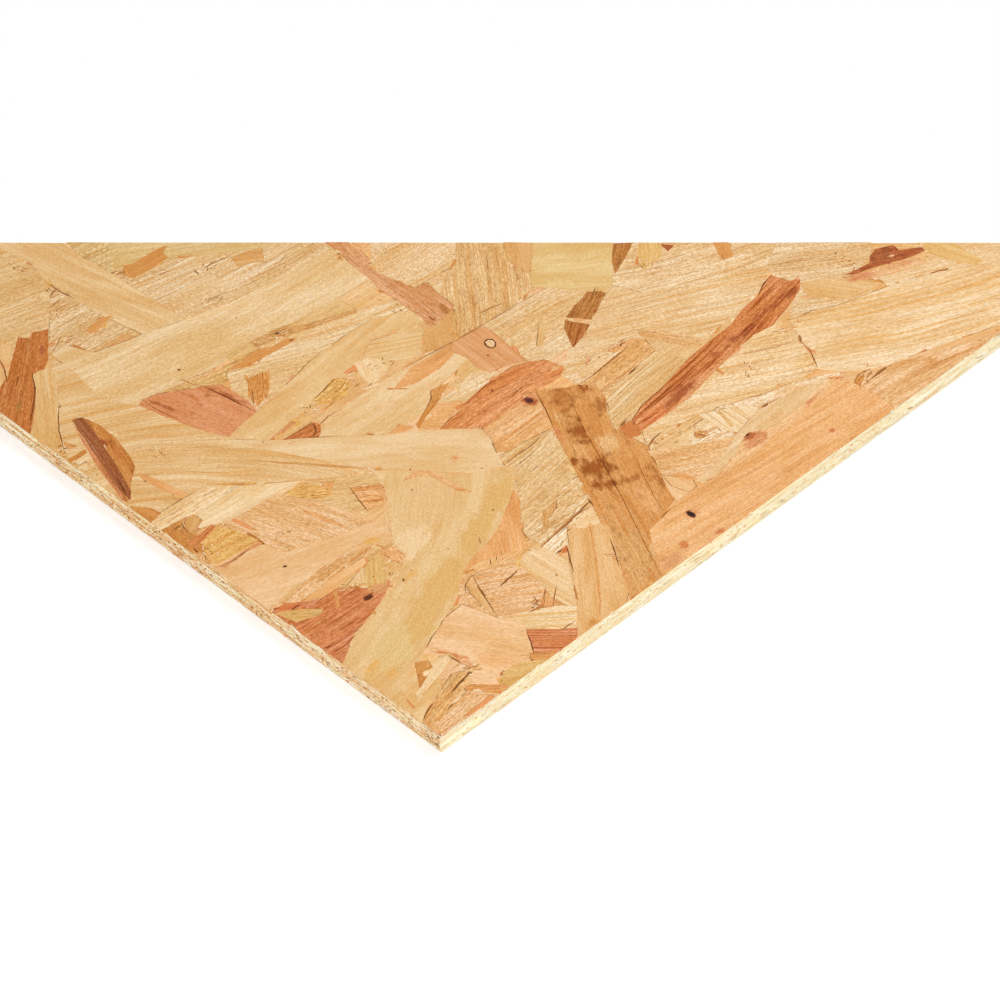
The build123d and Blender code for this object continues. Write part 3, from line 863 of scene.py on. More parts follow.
roughPatches = {                       # pixel, reach along and across the grain in millimetres, grain
    "belowSliver": ((395, 303), (14, 4), (1, 0.6)),
    "aboveRust": ((312, 408), (10, 6), (1, -0.6)),
    "pinkTornPatch": ((392, 570), (9, 9), (0.3, 1)),
    "knotCurls": ((275, 538), (8, 4), (1, -0.3)),
    "besideCrack": ((672, 437), (16, 5), (1, -0.25)),
    "rustDotted": ((704, 432), (8, 4), (1, 0.3)),
    "goldTorn": ((207, 552), (7, 6), (0.5, 1)),
    "cigarFoot": ((80, 464), (5, 4), (1, -0.4)),
    "creamCurls": ((158, 450), (7, 4), (1, 0.6)),
    "whiteCurls": ((592, 358), (9, 4), (1, -0.6)),
    "ringedFoot": ((790, 328), (8, 4), (1, -0.3)),
    "dirtSpot": ((842, 258), (5, 3), (1, -0.4)),
    "honeyCurl": ((752, 369), (6, 4), (0.4, 1)),
    "cornerCurls": ((470, 668), (6, 4), (1, -0.6)),
    "amberRibs": ((868, 377), (7, 4), (-0.4, 1)),
    "orangeTop": ((352, 586), (7, 2.5), (1, -0.2)),
    "uprightTicks": ((614, 556), (5, 2.5), (1, 0.3)),
    "leftSplit": ((60, 292), (6, 3), (1, 0.45)),
    "leftChips": ((57, 312), (5, 4), (1, -0.6)),
    "farLeftCurls": ((18, 268), (5, 3), (1, 0.5)),
    "topSlit": ((206, 266), (6, 3), (1, -0.5)),
    "middleSlit": ((212, 299), (5, 2), (1, -0.4)),
    "tanFoot": ((121, 273), (4, 2), (1, -0.3)),
    "tanTail": ((158, 273), (4, 2), (1, -0.2)),
    "shadedChips": ((284, 333), (6, 3.5), (1, -0.4)),
    "lowLeftChips": ((62, 449), (3, 3), (1, -0.3)),
    "pinkChips": ((70, 338), (4, 3), (1, -0.4)),
    "topCurls": ((340, 255), (4, 3), (1, 0.6)),
    "goldenRough": ((350, 380), (8, 5), (1, -0.6)),
    "whiteRough": ((374, 366), (7, 4), (1, -0.3)),
    "whiteTail": ((619, 345), (9, 2.5), (1, -0.5)),
    "topTorn": ((645, 264), (5, 4), (1, 0.6)),
    "rayedFoot": ((574, 521), (10, 3.5), (1, -0.8)),
    "foldFoot": ((538, 603), (4, 3), (1, -0.6)),
}

photoPits = {                          # small dark spots, by pixel
    "length": (0.8, 1.9), "width": (0.6, 1.2),
    "lean": 0.6,
    "spots": [(197, 375), (236, 317), (84, 258), (173, 494), (145, 481), (264, 543), (410, 469), (482, 468),
              (412, 489), (493, 509), (327, 489), (313, 495), (86, 471), (94, 468), (97, 474), (197, 551),
              (210, 551), (403, 580), (392, 585), (556, 574), (492, 390), (767, 404), (733, 405), (694, 421),
              (557, 575), (448, 548)],
}

placing = {
    "seed": 3,
    # trim pale: how much paler a lit lip is painted, as a highlight
    "trim": {"count": (1, 2, 3, 4), "gap": (0.12, 0.55), "rim": (0.1, 0.32), "pale": (1.06, 1.14, 1.28)},
    "fray": {"apart": 14.0, "reach": 1.0, "lean": 0.2, "length": (0.8, 3.6), "width": (0.18, 0.5),
             "voids": 0.35, "shade": (0.8, 1.12), "withGrain": 0.75},
    # split pale: how much paler the far lip is painted, as a highlight
    "split": {"count": (0, 1, 1, 2, 3), "least": 7.0, "fromTorn": 0.2, "lean": 0.05, "length": (3, 16),
              "width": (0.18, 0.55), "along": (-0.42, 0.42), "across": (-0.36, 0.36), "lip": 0.3,
              "proud": 0.05, "pale": (1.08, 1.18, 1.35)},
    "chip": {"apart": 45.0, "lean": 0.5, "length": (3, 11), "width": (0.7, 3.2), "jag": 1.0,
             "tones": ("white", "pale", "cream", "wheat", "gold", "apricot", "ginger", "salmon", "pink",
                       "amber", "brown")},
    "crackShare": 1.05,
    "toneHold": 0.65,                  # how near a strand from the photo keeps to its named tone
    "wear": {"alongStep": 7.0, "wave": 0.14, "acrossStep": 1.9, "tooth": 0.28, "withGrain": 0.8},
    "backing": {"reach": (400, 330), "tile": (70, 24),
                "shares": {"tan": 3, "wheat": 2, "blush": 2, "peach": 1}},
    "blots": 0.03,
    "grainStep": 4.0,                  # pixels
    "border": 4.0,                     # millimetres each side of the picture's border without gaps
    "crackEnds": (0.08, 0.92),
    "crackStep": 2.0,
    "crackWave": 0.22,
}


def directionOnFace(pixel, direction):
    step = placing["grainStep"]
    start = np.array(pixelOnFace(pixel))
    end = np.array(pixelOnFace((pixel[0] + direction[0] * step, pixel[1] + direction[1] * step)))
    return math.atan2(end[1] - start[1], end[0] - start[0])


def splintered(outline, angle, rng, wear):
    grain = np.array([math.cos(angle), math.sin(angle)])
    points = []
    for start, end in zip(outline, np.roll(outline, -1, axis=0)):
        side = end - start
        length = np.hypot(side[0], side[1])
        withGrain = abs(side @ grain) > wear["withGrain"] * length
        count = max(1, int(length / (wear["alongStep"] if withGrain else wear["acrossStep"])))
        points.append(start)
        for i in range(1, count):
            if withGrain:
                push = np.array([-grain[1], grain[0]]) * rng.gauss(0, wear["wave"])
            else:
                push = grain * rng.uniform(-1, 1) * wear["tooth"]
            points.append(start + side * i / count + push)
    return np.array(points)


placedOtherwise = ("tone", "grain", "outline", "marks")


def placedStrand(given, rng):
    look = {"blots": placing["blots"]}
    look.update((key, value) for key, value in given.items() if key not in placedOtherwise)
    pixels = np.array(given["outline"], float)
    angle = directionOnFace(pixels.mean(0), given["grain"])
    outline = np.array([pixelOnFace(pixel) for pixel in pixels])
    look["marks"] = []
    for x, y, long, wide, tone, strength, *lean in given.get("marks", []):
        turn = directionOnFace((x, y), lean[0]) if lean else angle
        look["marks"].append({"middle": pixelOnFace((x, y)), "radius": (long, wide), "tone": woodTones[tone],
                              "angle": turn, "strength": strength})
    strand = strandOf(splintered(outline, angle, rng, placing["wear"]), angle, given["tone"], rng, **look)
    strand["tone"] += (woodTones[given["tone"]] - strand["tone"]) * placing["toneHold"]
    return strand


def crackOutline(widest, pixels, rng):
    line = [np.array(pixelOnFace(pixel)) for pixel in pixels]
    spots = []
    for start, end in zip(line, line[1:]):
        count = max(2, int(np.hypot(*(end - start)) / placing["crackStep"]))
        spots += [start + (end - start) * i / count for i in range(count)]
    spots = np.array(spots + [line[-1]])
    ahead = np.gradient(spots, axis=0)
    out = np.stack([ahead[:, 1], -ahead[:, 0]], 1) / np.hypot(ahead[:, 0], ahead[:, 1])[:, None]
    swell = np.sin(np.linspace(*placing["crackEnds"], len(spots)) * math.pi)
    half = widest / 2 * placing["crackShare"] * swell
    sides = []
    for sign in (1, -1):
        jitter = np.array([rng.gauss(1, placing["crackWave"]) for _ in spots])
        sides.append(spots + out * (sign * half * jitter)[:, None])
    return np.concatenate([sides[0], sides[1][::-1]])


def pastPicture(spots):
    spots = np.column_stack([spots * mm, np.zeros(len(spots))]) + np.array(nearCorner)
    return (spots - np.array(viewPoint)) @ np.array(viewAhead) - cameraData.clip_end


def atPictureBorder(outline):
    near = np.abs(pastPicture(outline)) < placing["border"] * mm
    return near.any()                                     # a gap there would open on the background


def placedStrands():
    rng = random.Random(placing["seed"])
    backing = placing["backing"]
    strands = baseStrands(rng, backing["reach"], backing["tile"], backing["shares"])
    strands = [tile for tile in strands if pastPicture(tile["middle"][None])[0] < 0]
    for given in photoStrands.values():
        strand = placedStrand(given, rng)
        if strand["kept"]:
            strands.append(strand)
            continue
        strands += chipsUnder(strand, rng, placing["chip"]) + trimmed(strand, rng, placing["trim"])
        if min(strand["span"]) > placing["split"]["least"] and strand["torn"] > placing["split"]["fromTorn"]:
            strands += splitOpen(strand, rng, placing["split"])
        strands += frayed(strand, rng, placing["fray"])
    for pixel, reach, grain in roughPatches.values():
        lean = directionOnFace(pixel, grain)
        strands += scatterSplinters(rng, pixelOnFace(pixel), reach, lean, faceSplinters)
    strands += [voidOf(crackOutline(widest, line, rng)) for widest, line in photoCracks.values()]
    for pixel in photoPits["spots"]:
        strands.append(voidOf(sliver(rng, pixelOnFace(pixel), rng.gauss(0, photoPits["lean"]), photoPits)))
    return [strand for strand in strands if not (strand["void"] and atPictureBorder(strand["outline"]))]


# What shows of each strand under those laid over it

def insideOutline(outline, x, y):
    shape, x, y = x.shape, x.ravel(), y.ravel()
    (x0, y0), (x1, y1) = outline.T[:, :, None], np.concatenate([outline[1:], outline[:1]]).T[:, :, None]
    rise = np.where(y0 == y1, 1.0, y1 - y0)
    crossed = ((y0 > y) != (y1 > y)) & (x < (x1 - x0) * (y - y0) / rise + x0)
    return np.logical_xor.reduce(crossed, axis=0).reshape(shape)


def widened(spots):
    rows, columns = spots.shape
    padded = np.pad(spots, 1)
    shifts = [(down, across) for down in range(3) for across in range(3)]
    return np.logical_or.reduce([padded[down:down + rows, across:across + columns]
                                 for down, across in shifts])


def strandsInSight(strands, size, pitch, leastSpots):
    columns, rows = int(size[0] / pitch[0]) + 1, int(size[1] / pitch[1]) + 1
    owner = np.full((rows, columns), -1, np.int32)
    seen, covers = [], []
    for strand in reversed(strands):                      # the uppermost first
        low, high = strand["outline"].min(0), strand["outline"].max(0)
        left, right = max(0, int(low[0] / pitch[0]) - 1), min(columns, int(high[0] / pitch[0]) + 3)
        bottom, top = max(0, int(low[1] / pitch[1]) - 1), min(rows, int(high[1] / pitch[1]) + 3)
        if left >= right or bottom >= top:
            continue
        patch = owner[bottom:top, left:right]
        x, y = np.meshgrid((np.arange(left, right) + 0.5) * pitch[0],
                           (np.arange(bottom, top) + 0.5) * pitch[1])
        inside = insideOutline(strand["outline"], x, y)
        free = inside & (patch < 0)
        if free.sum() < (0 if strand["kept"] else leastSpots) or not (patch < 0).any():
            continue
        covers.append(set(np.unique(patch[widened(inside)]).tolist()) - {-1})
        patch[free] = len(seen)
        strand["low"], strand["high"] = low, high
        seen.append(strand)
    return seen, covers


markRings = {"spots": 10, "shares": (0.0, 0.3, 0.65, 1.0)}   # added corners, so that a mark keeps its shape


def markSpots(strand):
    spots = []
    for mark in strand["marks"]:
        turns = np.linspace(0, 2 * math.pi, markRings["spots"] + 1)[:-1]
        for share in markRings["shares"]:
            ring = np.stack([np.cos(turns + share * 2), np.sin(turns + share * 2)], 1)
            ring = ring * np.array(mark["radius"]) * share
            spots += turned(ring if share else ring[:1], mark["angle"], mark["middle"]).tolist()
    return spots


merged, needle = 1e-5, 1e-4              # corners that near are one, triangles that thin are left out


def cutOut(strand, above, size):
    points, sides = [], []
    border = np.array([(0, 0), (size[0], 0), (size[0], size[1]), (0, size[1])])
    atBorder = (strand["low"] < 0).any() or (strand["high"] > np.array(size)).any()
    outlines = [strand["outline"]] + [other["outline"] for other in above] + ([border] if atBorder else [])
    for outline in outlines:
        first, count = len(points), len(outline)
        sides += [(first + i, first + (i + 1) % count) for i in range(count)]
        points += [Vector(point) for point in outline]
    points += [Vector(spot) for spot in markSpots(strand)]
    corners, _, triangles, _, _, _ = delaunay_2d_cdt(points, sides, [], 0, merged)
    corners, triangles = np.array(corners), np.array(triangles)
    a, b, d = (corners[triangles[:, i]] for i in range(3))
    middle = (a + b + d) / 3
    longest = np.maximum(np.maximum(((b - a) ** 2).sum(1), ((d - b) ** 2).sum(1)), ((a - d) ** 2).sum(1))
    area = np.abs((b - a)[:, 0] * (d - a)[:, 1] - (b - a)[:, 1] * (d - a)[:, 0])
    shown = area > needle * longest
    shown &= (middle > 0).all(1) & (middle < np.array(size)).all(1)
    shown &= insideOutline(strand["outline"], middle[:, 0], middle[:, 1])
    for other in above:
        near = np.where(shown & (middle > other["low"]).all(1) & (middle < other["high"]).all(1))[0]
        if len(near):
            shown[near] = ~insideOutline(other["outline"], middle[near, 0], middle[near, 1])
    kept = triangles[shown]
    used, numbers = np.unique(kept, return_inverse=True)
    return corners[used], numbers.reshape(-1, 3).tolist()


def layFlakes(strands, size, relief):
    flakes = []
    rng = random.Random(relief["seed"])
    seen, covers = strandsInSight(strands, size, relief["pitch"], relief["leastSpots"])
    lows = np.array([strand["low"] for strand in seen])
    highs = np.array([strand["high"] for strand in seen])
    kept = np.array([strand["kept"] for strand in seen])
    for i, strand in enumerate(seen):
        if strand["void"]:
            continue
        beside = kept[:i] & (lows[:i] < highs[i]).all(1) & (highs[:i] > lows[i]).all(1)
        above = [seen[j] for j in sorted(covers[i] | set(np.where(beside)[0].tolist()))]
        corners, triangles = cutOut(strand, above, size)
        under = [other["depth"] for other in above if not other["void"]]
        sunk = (sum(under) / len(under) if under else 0) * relief["follow"]
        sunk = sunk + rng.uniform(*relief["step"]) - strand["proud"]
        strand["depth"] = min(relief["deepest"], max(0, sunk))
        strand["tilt"] = (rng.gauss(0, relief["tilt"]), rng.gauss(0, relief["tilt"]))
        if triangles:
            flakes.append((strand, corners, triangles))
    return flakes


# A face's flakes as one mesh, each a closed plate that reaches into the core

def markValues(strand, corners):
    share, colour = np.zeros(len(corners)), np.tile(strand["tone"], (len(corners), 1))
    for mark in strand["marks"]:
        off = turnedBack(corners, mark["angle"], mark["middle"]) / np.array(mark["radius"])
        field = mark["strength"] * np.clip(1 - np.hypot(off[:, 0], off[:, 1]), 0, 1)
        stronger = field > share
        share[stronger] = field[stronger]
        colour[stronger] = mark["tone"]
    return np.column_stack([colour, share])


bakeMargin = 0.006                                        # share of a block


def bakeLayout(spots, bakeGrid):
    columns, rows = bakeGrid                              # blocks of one map that the piece is laid out in
    along = np.array([corners[:, 0].mean() for corners in spots])
    share = (along - along.min()) / (np.ptp(along) + 1e-6)
    block = np.minimum((share * columns * rows).astype(int), columns * rows - 1)
    places = [None] * len(spots)
    for number in range(columns * rows):
        mates = np.where(block == number)[0]
        if len(mates):
            together = np.concatenate([spots[mate] for mate in mates])
            low, high = together.min(0), together.max(0)
            cell = np.array([number % columns, number // columns])
        for mate in mates:
            inCell = bakeMargin + (spots[mate] - low) / (high - low) * (1 - 2 * bakeMargin)
            places[mate] = (cell + inCell) / (columns, rows)
    return places


def flakeMesh(name, flakes, place, relief, bakeGrid, material):
    points, faces, grain, tone, figure, finish, mark, bake, inner = [], [], [], [], [], [], [], [], []
    total, wallDepth = 0, relief["wall"]
    places = bakeLayout([corners for _, corners, _ in flakes], bakeGrid)
    for (strand, corners, triangles), onMap in zip(flakes, places):
        local = turnedBack(corners, strand["angle"], strand["middle"])
        along, across = np.clip(local / strand["span"], -0.5, 0.5).T
        depth = np.maximum(0, strand["depth"] + along * strand["tilt"][0] + across * strand["tilt"][1])
        count = len(corners)
        points += [place(corners, depth), place(corners, np.full(count, wallDepth))]
        edges = set()
        for t in triangles:
            a, b, d = corners[t]
            if (b[0] - a[0]) * (d[1] - a[1]) - (b[1] - a[1]) * (d[0] - a[0]) < 0:
                t.reverse()
            faces.append([total + v for v in t])
            faces.append([total + count + v for v in reversed(t)])
            inner += [0, 0, 0, 1, 1, 1]
            edges.update(zip(t, t[1:] + t[:1]))
        for first, second in sorted(edges):
            if (second, first) not in edges:
                faces.append([total + first, total + count + first, total + count + second, total + second])
                inner += [0, 0, 0, 0]
        grain += [local * relief["fineness"], (local + np.array([0, wallDepth])) * relief["fineness"]]
        for rows, values in ((tone, [*strand["tone"], strand["seed"]]),
                             (figure, [strand[key] for key in ("rings", "spacing", "curve", "apex")]),
                             (finish, [strand["torn"], strand["blots"], strand["lined"], 1])):
            rows.append(np.tile(values, (2 * count, 1)))
        mark += [markValues(strand, corners)] * 2
        bake += [onMap, onMap]
        total += 2 * count
    mesh = bpy.data.meshes.new(name)
    mesh.from_pydata(np.concatenate(points).tolist(), [], faces)
    for label, rows in (("tone", tone), ("figure", figure), ("finish", finish), ("mark", mark)):
        layer = mesh.attributes.new(label, "FLOAT_COLOR", "POINT")
        layer.data.foreach_set("color", np.concatenate(rows).astype(np.float32).ravel())
    vertexOfLoop = np.empty(len(mesh.loops), np.int32)
    mesh.loops.foreach_get("vertex_index", vertexOfLoop)
    grainMap = mesh.uv_layers.new(name="grain")
    grainMap.uv.foreach_set("vector", np.concatenate(grain)[vertexOfLoop].astype(np.float32).ravel())
    onMap = np.concatenate(bake)[vertexOfLoop]
    hidden = np.where(np.array(inner) == 1)[0].reshape(-1, 3)
    onMap[hidden] = onMap[hidden[:, :1]]                  # the inner sides take no room on the map
    bakeMap = mesh.uv_layers.new(name="OFBake")
    bakeMap.uv.foreach_set("vector", onMap.astype(np.float32).ravel())
    mesh.materials.append(material)
    mesh.update()
    piece = bpy.data.objects.new(name, mesh)
    bpy.context.scene.collection.objects.link(piece)
    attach(piece, "root")
    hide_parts("osb_panel")
    print(name, len(flakes), "flakes,", len(faces), "faces")
    return piece


# Materials

def addNode(tree, kind, sockets=None, **settings):
    made = tree.nodes.new(kind)
    for key, value in settings.items():
        setattr(made, key, value)
    for socket, value in (sockets or {}).items():
        if isinstance(value, bpy.types.NodeSocket):
            tree.links.new(value, made.inputs[socket])
        else:
            made.inputs[socket].default_value = value
    return made


def sums(tree, operation, first, second=0.0, third=0.0):
    return addNode(tree, "ShaderNodeMath", {0: first, 1: second, 2: third}, operation=operation).outputs[0]


def ramp(tree, value, low, high):
    return addNode(tree, "ShaderNodeMapRange", {0: value, 1: low, 2: high},
                   interpolation_type="SMOOTHSTEP").outputs[0]


def mixColours(tree, share, first, second, blend="MIX"):
    return addNode(tree, "ShaderNodeMix", {0: share, 6: first, 7: second},
                   data_type="RGBA", blend_type=blend).outputs[2]


def streaks(tree, along, across, seed, scaleAlong, scaleAcross, detail):
    place = addNode(tree, "ShaderNodeCombineXYZ", {0: sums(tree, "MULTIPLY", along, scaleAlong),
                                                   1: sums(tree, "MULTIPLY", across, scaleAcross),
                                                   2: seed}).outputs[0]
    return addNode(tree, "ShaderNodeTexNoise",
                   {"Vector": place, "Scale": 1.0, "Detail": detail, "Roughness": 0.6}).outputs[0]


strandLook = {
    "fibreDark": (0.91, 0.79, 0.63, 1),    # what each feature does to the strand's own tone
    "fibrePale": (1.06, 1.15, 1.32, 1),
    "dull": (0.945, 0.878, 0.735, 1),
    "bright": (1.05, 1.118, 1.23, 1),
    "latewood": (0.93, 0.75, 0.47, 1),
    "gritDark": (0.78, 0.66, 0.48, 1),
    "gritPale": (1.18, 1.28, 1.48, 1),
    "lineDark": (0.60, 0.38, 0.19, 1),
    "linePale": (1.16, 1.38, 1.72, 1),
    "tick": (0.82, 0.62, 0.38, 1),
    # splint: paler fibre flecks, partly the torn wood and partly painted highlight
    "splint": (1.08, 1.18, 1.36, 1),
    "blot": (0.52, 0.34, 0.16, 1),
    "roughness": (0.55, 0.75),
    "specular": 0.1,
    "bump": 0.0003,
}
strandNoise = {                            # how fine along and across the grain, and its detail
    "drift": (0.012, 0.05, 1.0),
    "fibre": (0.016, 0.5, 3.0),
    "fineFibre": (0.06, 2.3, 2.0),
    "grit": (0.55, 2.2, 2.0),
    "cloud": (0.02, 0.08, 3.0),
    "blotch": (0.16, 0.26, 4.0),
    "split": (0.016, 1.2, 1.0),
    "line": (0.03, 0.9, 3.0),
    "uneven": (0.012, 0.9, 1.0),
}
strandSpans = {                            # between which values each feature sets in
    "lateStart": (0.35, 0.92), "lateEnd": (1.0, 0.93), "uneven": (0.35, 0.65), "cloud": (0.34, 0.66),
    "mark": (0.15, 0.65), "markRim": (0.0, 0.12), "blot": (0.5, 0.72), "fibre": (0.385, 0.615),
    "grit": (0.36, 0.64), "darkLine": (0.53, 0.66), "paleLine": (0.46, 0.34), "tick": (0.62, 0.74),
    "splint": (0.38, 0.26),
}
strandMix = {
    "seeds": 97.0, "wander": 9.0, "markFibre": 0.9, "markBlotch": 1.7, "markMiddle": 1.3,
    "coarse": 0.4, "fine": 0.6,            # shares of the two fibres
    "fibre": (0.7, 0.3), "grit": (0.65, 0.35), "ragged": (0.85, 0.05),   # on a torn strand, and more on any
    "heightAny": 0.3, "heightTicks": 0.5,
}


def strandMaterial(name, look):
    material = bpy.data.materials.new(name)
    material.use_nodes = True
    tree = material.node_tree
    tree.nodes.clear()
    grain = addNode(tree, "ShaderNodeUVMap", uv_map="grain").outputs[0]
    along, across, _ = addNode(tree, "ShaderNodeSeparateXYZ", {0: grain}).outputs
    tone = addNode(tree, "ShaderNodeAttribute", attribute_name="tone").outputs
    figure = addNode(tree, "ShaderNodeAttribute", attribute_name="figure").outputs
    finish = addNode(tree, "ShaderNodeAttribute", attribute_name="finish").outputs
    mark = addNode(tree, "ShaderNodeAttribute", attribute_name="mark").outputs
    rings, spacing, curve = addNode(tree, "ShaderNodeSeparateColor", {0: figure["Color"]}).outputs
    torn, blots, lined = addNode(tree, "ShaderNodeSeparateColor", {0: finish["Color"]}).outputs
    seed = sums(tree, "MULTIPLY", tone["Alpha"], strandMix["seeds"])

    def noise(key, over):
        return streaks(tree, along, over, seed, *strandNoise[key])

    def span(key, value):
        return ramp(tree, value, *strandSpans[key])

    def dyed(colour, factor):
        return mixColours(tree, 1.0, colour, look[factor], "MULTIPLY")

    def ofTorn(key):
        return sums(tree, "MULTIPLY_ADD", torn, *strandMix[key])

    # grain that bows along the strand and wanders a little
    off = sums(tree, "SUBTRACT", along, figure["Alpha"])
    bowed = sums(tree, "MULTIPLY_ADD", sums(tree, "MULTIPLY", off, off), curve, across)
    drift = sums(tree, "SUBTRACT", noise("drift", across), 0.5)
    flow = sums(tree, "MULTIPLY_ADD", drift, strandMix["wander"], bowed)

    fibre = noise("fibre", flow)
    fineFibre = noise("fineFibre", flow)
    grit = noise("grit", across)
    cloud = noise("cloud", flow)
    blotch = noise("blotch", flow)
    split = noise("split", flow)
    line = noise("line", flow)

    # growth rings
    ringPlace = sums(tree, "DIVIDE", flow, spacing)
    year = sums(tree, "FRACT", ringPlace)
    late = sums(tree, "MULTIPLY", span("lateStart", year), span("lateEnd", year))
    uneven = span("uneven", noise("uneven", ringPlace))
    ringShare = sums(tree, "MULTIPLY", sums(tree, "MULTIPLY", late, uneven), rings)
    own = mixColours(tree, span("cloud", cloud), dyed(tone["Color"], "dull"), dyed(tone["Color"], "bright"))
    own = mixColours(tree, ringShare, own, dyed(own, "latewood"))

    # stains, knots and blots
    rough = sums(tree, "ADD", sums(tree, "MULTIPLY", fibre, strandMix["markFibre"]),
                 sums(tree, "MULTIPLY", blotch, strandMix["markBlotch"]))
    spread = sums(tree, "ADD", sums(tree, "SUBTRACT", rough, strandMix["markMiddle"]), mark["Alpha"])
    marked = sums(tree, "MULTIPLY", span("mark", spread), span("markRim", mark["Alpha"]))
    own = mixColours(tree, marked, own, mark["Color"])
    blot = sums(tree, "MULTIPLY", span("blot", blotch), blots)
    own = mixColours(tree, blot, own, dyed(own, "blot"))

    # fibres, lines, ticks, and splints: paler flecks that are partly torn fibres and partly painted highlight
    streakMix = sums(tree, "ADD", sums(tree, "MULTIPLY", fibre, strandMix["coarse"]),
                     sums(tree, "MULTIPLY", fineFibre, strandMix["fine"]))
    fibred = mixColours(tree, span("fibre", streakMix), dyed(own, "fibreDark"), dyed(own, "fibrePale"))
    colour = mixColours(tree, ofTorn("fibre"), own, fibred)
    gritty = mixColours(tree, span("grit", grit), dyed(colour, "gritDark"), dyed(colour, "gritPale"))
    colour = mixColours(tree, ofTorn("grit"), colour, gritty)
    darkLine = sums(tree, "MULTIPLY", span("darkLine", line), lined)
    paleLine = sums(tree, "MULTIPLY", span("paleLine", line), lined)
    colour = mixColours(tree, darkLine, colour, dyed(colour, "lineDark"))
    colour = mixColours(tree, paleLine, colour, dyed(colour, "linePale"))
    ragged = ofTorn("ragged")
    tick = sums(tree, "MULTIPLY", span("tick", split), ragged)
    splint = sums(tree, "MULTIPLY", span("splint", split), ragged)
    colour = mixColours(tree, tick, colour, dyed(colour, "tick"))
    # painted highlight on the raised splints, over their paler wood
    colour = mixColours(tree, splint, colour, dyed(colour, "splint"))
    colour.node.clamp_result = True

    ticks = sums(tree, "ADD", sums(tree, "SUBTRACT", splint, tick), grit)
    height = sums(tree, "MULTIPLY", streakMix, sums(tree, "ADD", torn, strandMix["heightAny"]))
    height = sums(tree, "ADD", height, sums(tree, "MULTIPLY", ticks, strandMix["heightTicks"]))
    bump = addNode(tree, "ShaderNodeBump", {"Distance": look["bump"], "Height": height}).outputs[0]
    roughness = addNode(tree, "ShaderNodeMapRange",
                        {0: fibre, 3: look["roughness"][0], 4: look["roughness"][1]}).outputs[0]
    shader = addNode(tree, "ShaderNodeBsdfPrincipled",
                     {"Base Color": colour, "Roughness": roughness,
                      "Specular IOR Level": look["specular"], "Normal": bump})
    addNode(tree, "ShaderNodeOutputMaterial", {"Surface": shader.outputs[0]})
    return material


# core tones: partly the inner wood, partly painted shade, darker than any strand so that voids show dark
coreLook = {
    "dark": (0.24, 0.09, 0.025, 1), "pale": (0.52, 0.25, 0.08, 1), "grain": (14, 160, 160), "detail": 5.0,
    "span": (0.3, 0.7), "roughness": 0.85, "specular": 0.1, "bump": 0.0003,
}


def coreMaterial(name, look):
    material = bpy.data.materials.new(name)
    material.use_nodes = True
    tree = material.node_tree
    tree.nodes.clear()
    place = addNode(tree, "ShaderNodeTexCoord").outputs["Object"]
    stretched = addNode(tree, "ShaderNodeMapping", {"Vector": place, "Scale": look["grain"]}).outputs[0]
    fibre = addNode(tree, "ShaderNodeTexNoise",
                    {"Vector": stretched, "Scale": 1.0, "Detail": look["detail"]}).outputs[0]
    colour = mixColours(tree, ramp(tree, fibre, *look["span"]), look["dark"], look["pale"])
    bump = addNode(tree, "ShaderNodeBump", {"Distance": look["bump"], "Height": fibre}).outputs[0]
    shader = addNode(tree, "ShaderNodeBsdfPrincipled",
                     {"Base Color": colour, "Roughness": look["roughness"],
                      "Specular IOR Level": look["specular"], "Normal": bump})
    addNode(tree, "ShaderNodeOutputMaterial", {"Surface": shader.outputs[0]})
    return material


strandWood = strandMaterial("strandWood", strandLook)
coreWood = coreMaterial("coreWood", coreLook)
print("materials made")


# Core: the pressed inside of the sheet, which shows only in voids, its dark brown partly painted shade there

core = {"inset": 1.0, "bevel": 0.3}

bpy.ops.object.select_all(action="DESELECT")
bpy.ops.mesh.primitive_cube_add(size=1, location=(sheetLow + sheetHigh) / 2)
panelCore = bpy.context.object
panelCore.name = "panelCore"
panelCore.scale = [(side - 2 * core["inset"]) * mm for side in sheetSize]
bpy.ops.object.transform_apply(location=True, rotation=True, scale=True)
bpy.ops.object.mode_set(mode="EDIT")
bpy.ops.mesh.select_all(action="SELECT")
bpy.ops.mesh.bevel(offset=core["bevel"] * mm, segments=2, affect="EDGES")
bpy.ops.object.mode_set(mode="OBJECT")
panelCore.data.materials.append(coreWood)
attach(panelCore, "root")
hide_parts("osb_panel")
print("core made")


# Faces: top and underside

def facePlace(origin, right, up, out):
    origin, right, up, out = (np.array(v) for v in (origin, right, up, out))

    def put(spots, depth):
        return origin + (np.outer(spots[:, 0], right) + np.outer(spots[:, 1], up) - np.outer(depth, out)) * mm
    return put


faceSpread = {
    "layers": 5.0,                   # how many strands deep the scatter lies
    "length": (45, 150, 120),        # shortest, longest, usual, in millimetres
    "width": (5, 46, 18),
    "lean": math.radians(30),        # how far strands stray from the sheet's length
    "strays": 0.25,                  # share that lies any way
    "jag": 5.0,
    "past": 40,                      # millimetres beyond the sheet's borders
    "tile": (140, 38),               # millimetres, of the closed layer beneath
    # trim pale: how much paler a lit lip is painted, as a highlight
    "trim": {"count": (0, 1, 1, 2), "gap": (0.12, 0.6), "rim": (0.15, 0.5), "pale": (1.08, 1.18, 1.35)},
    # split pale: how much paler the far lip is painted, as a highlight
    "split": {"count": (0, 0, 0, 1), "lean": 0.05, "length": (5, 26), "width": (0.15, 0.45),
              "along": (-0.42, 0.42), "across": (-0.36, 0.36), "lip": 0.3, "proud": 0.05,
              "pale": (1.08, 1.18, 1.35)},
}
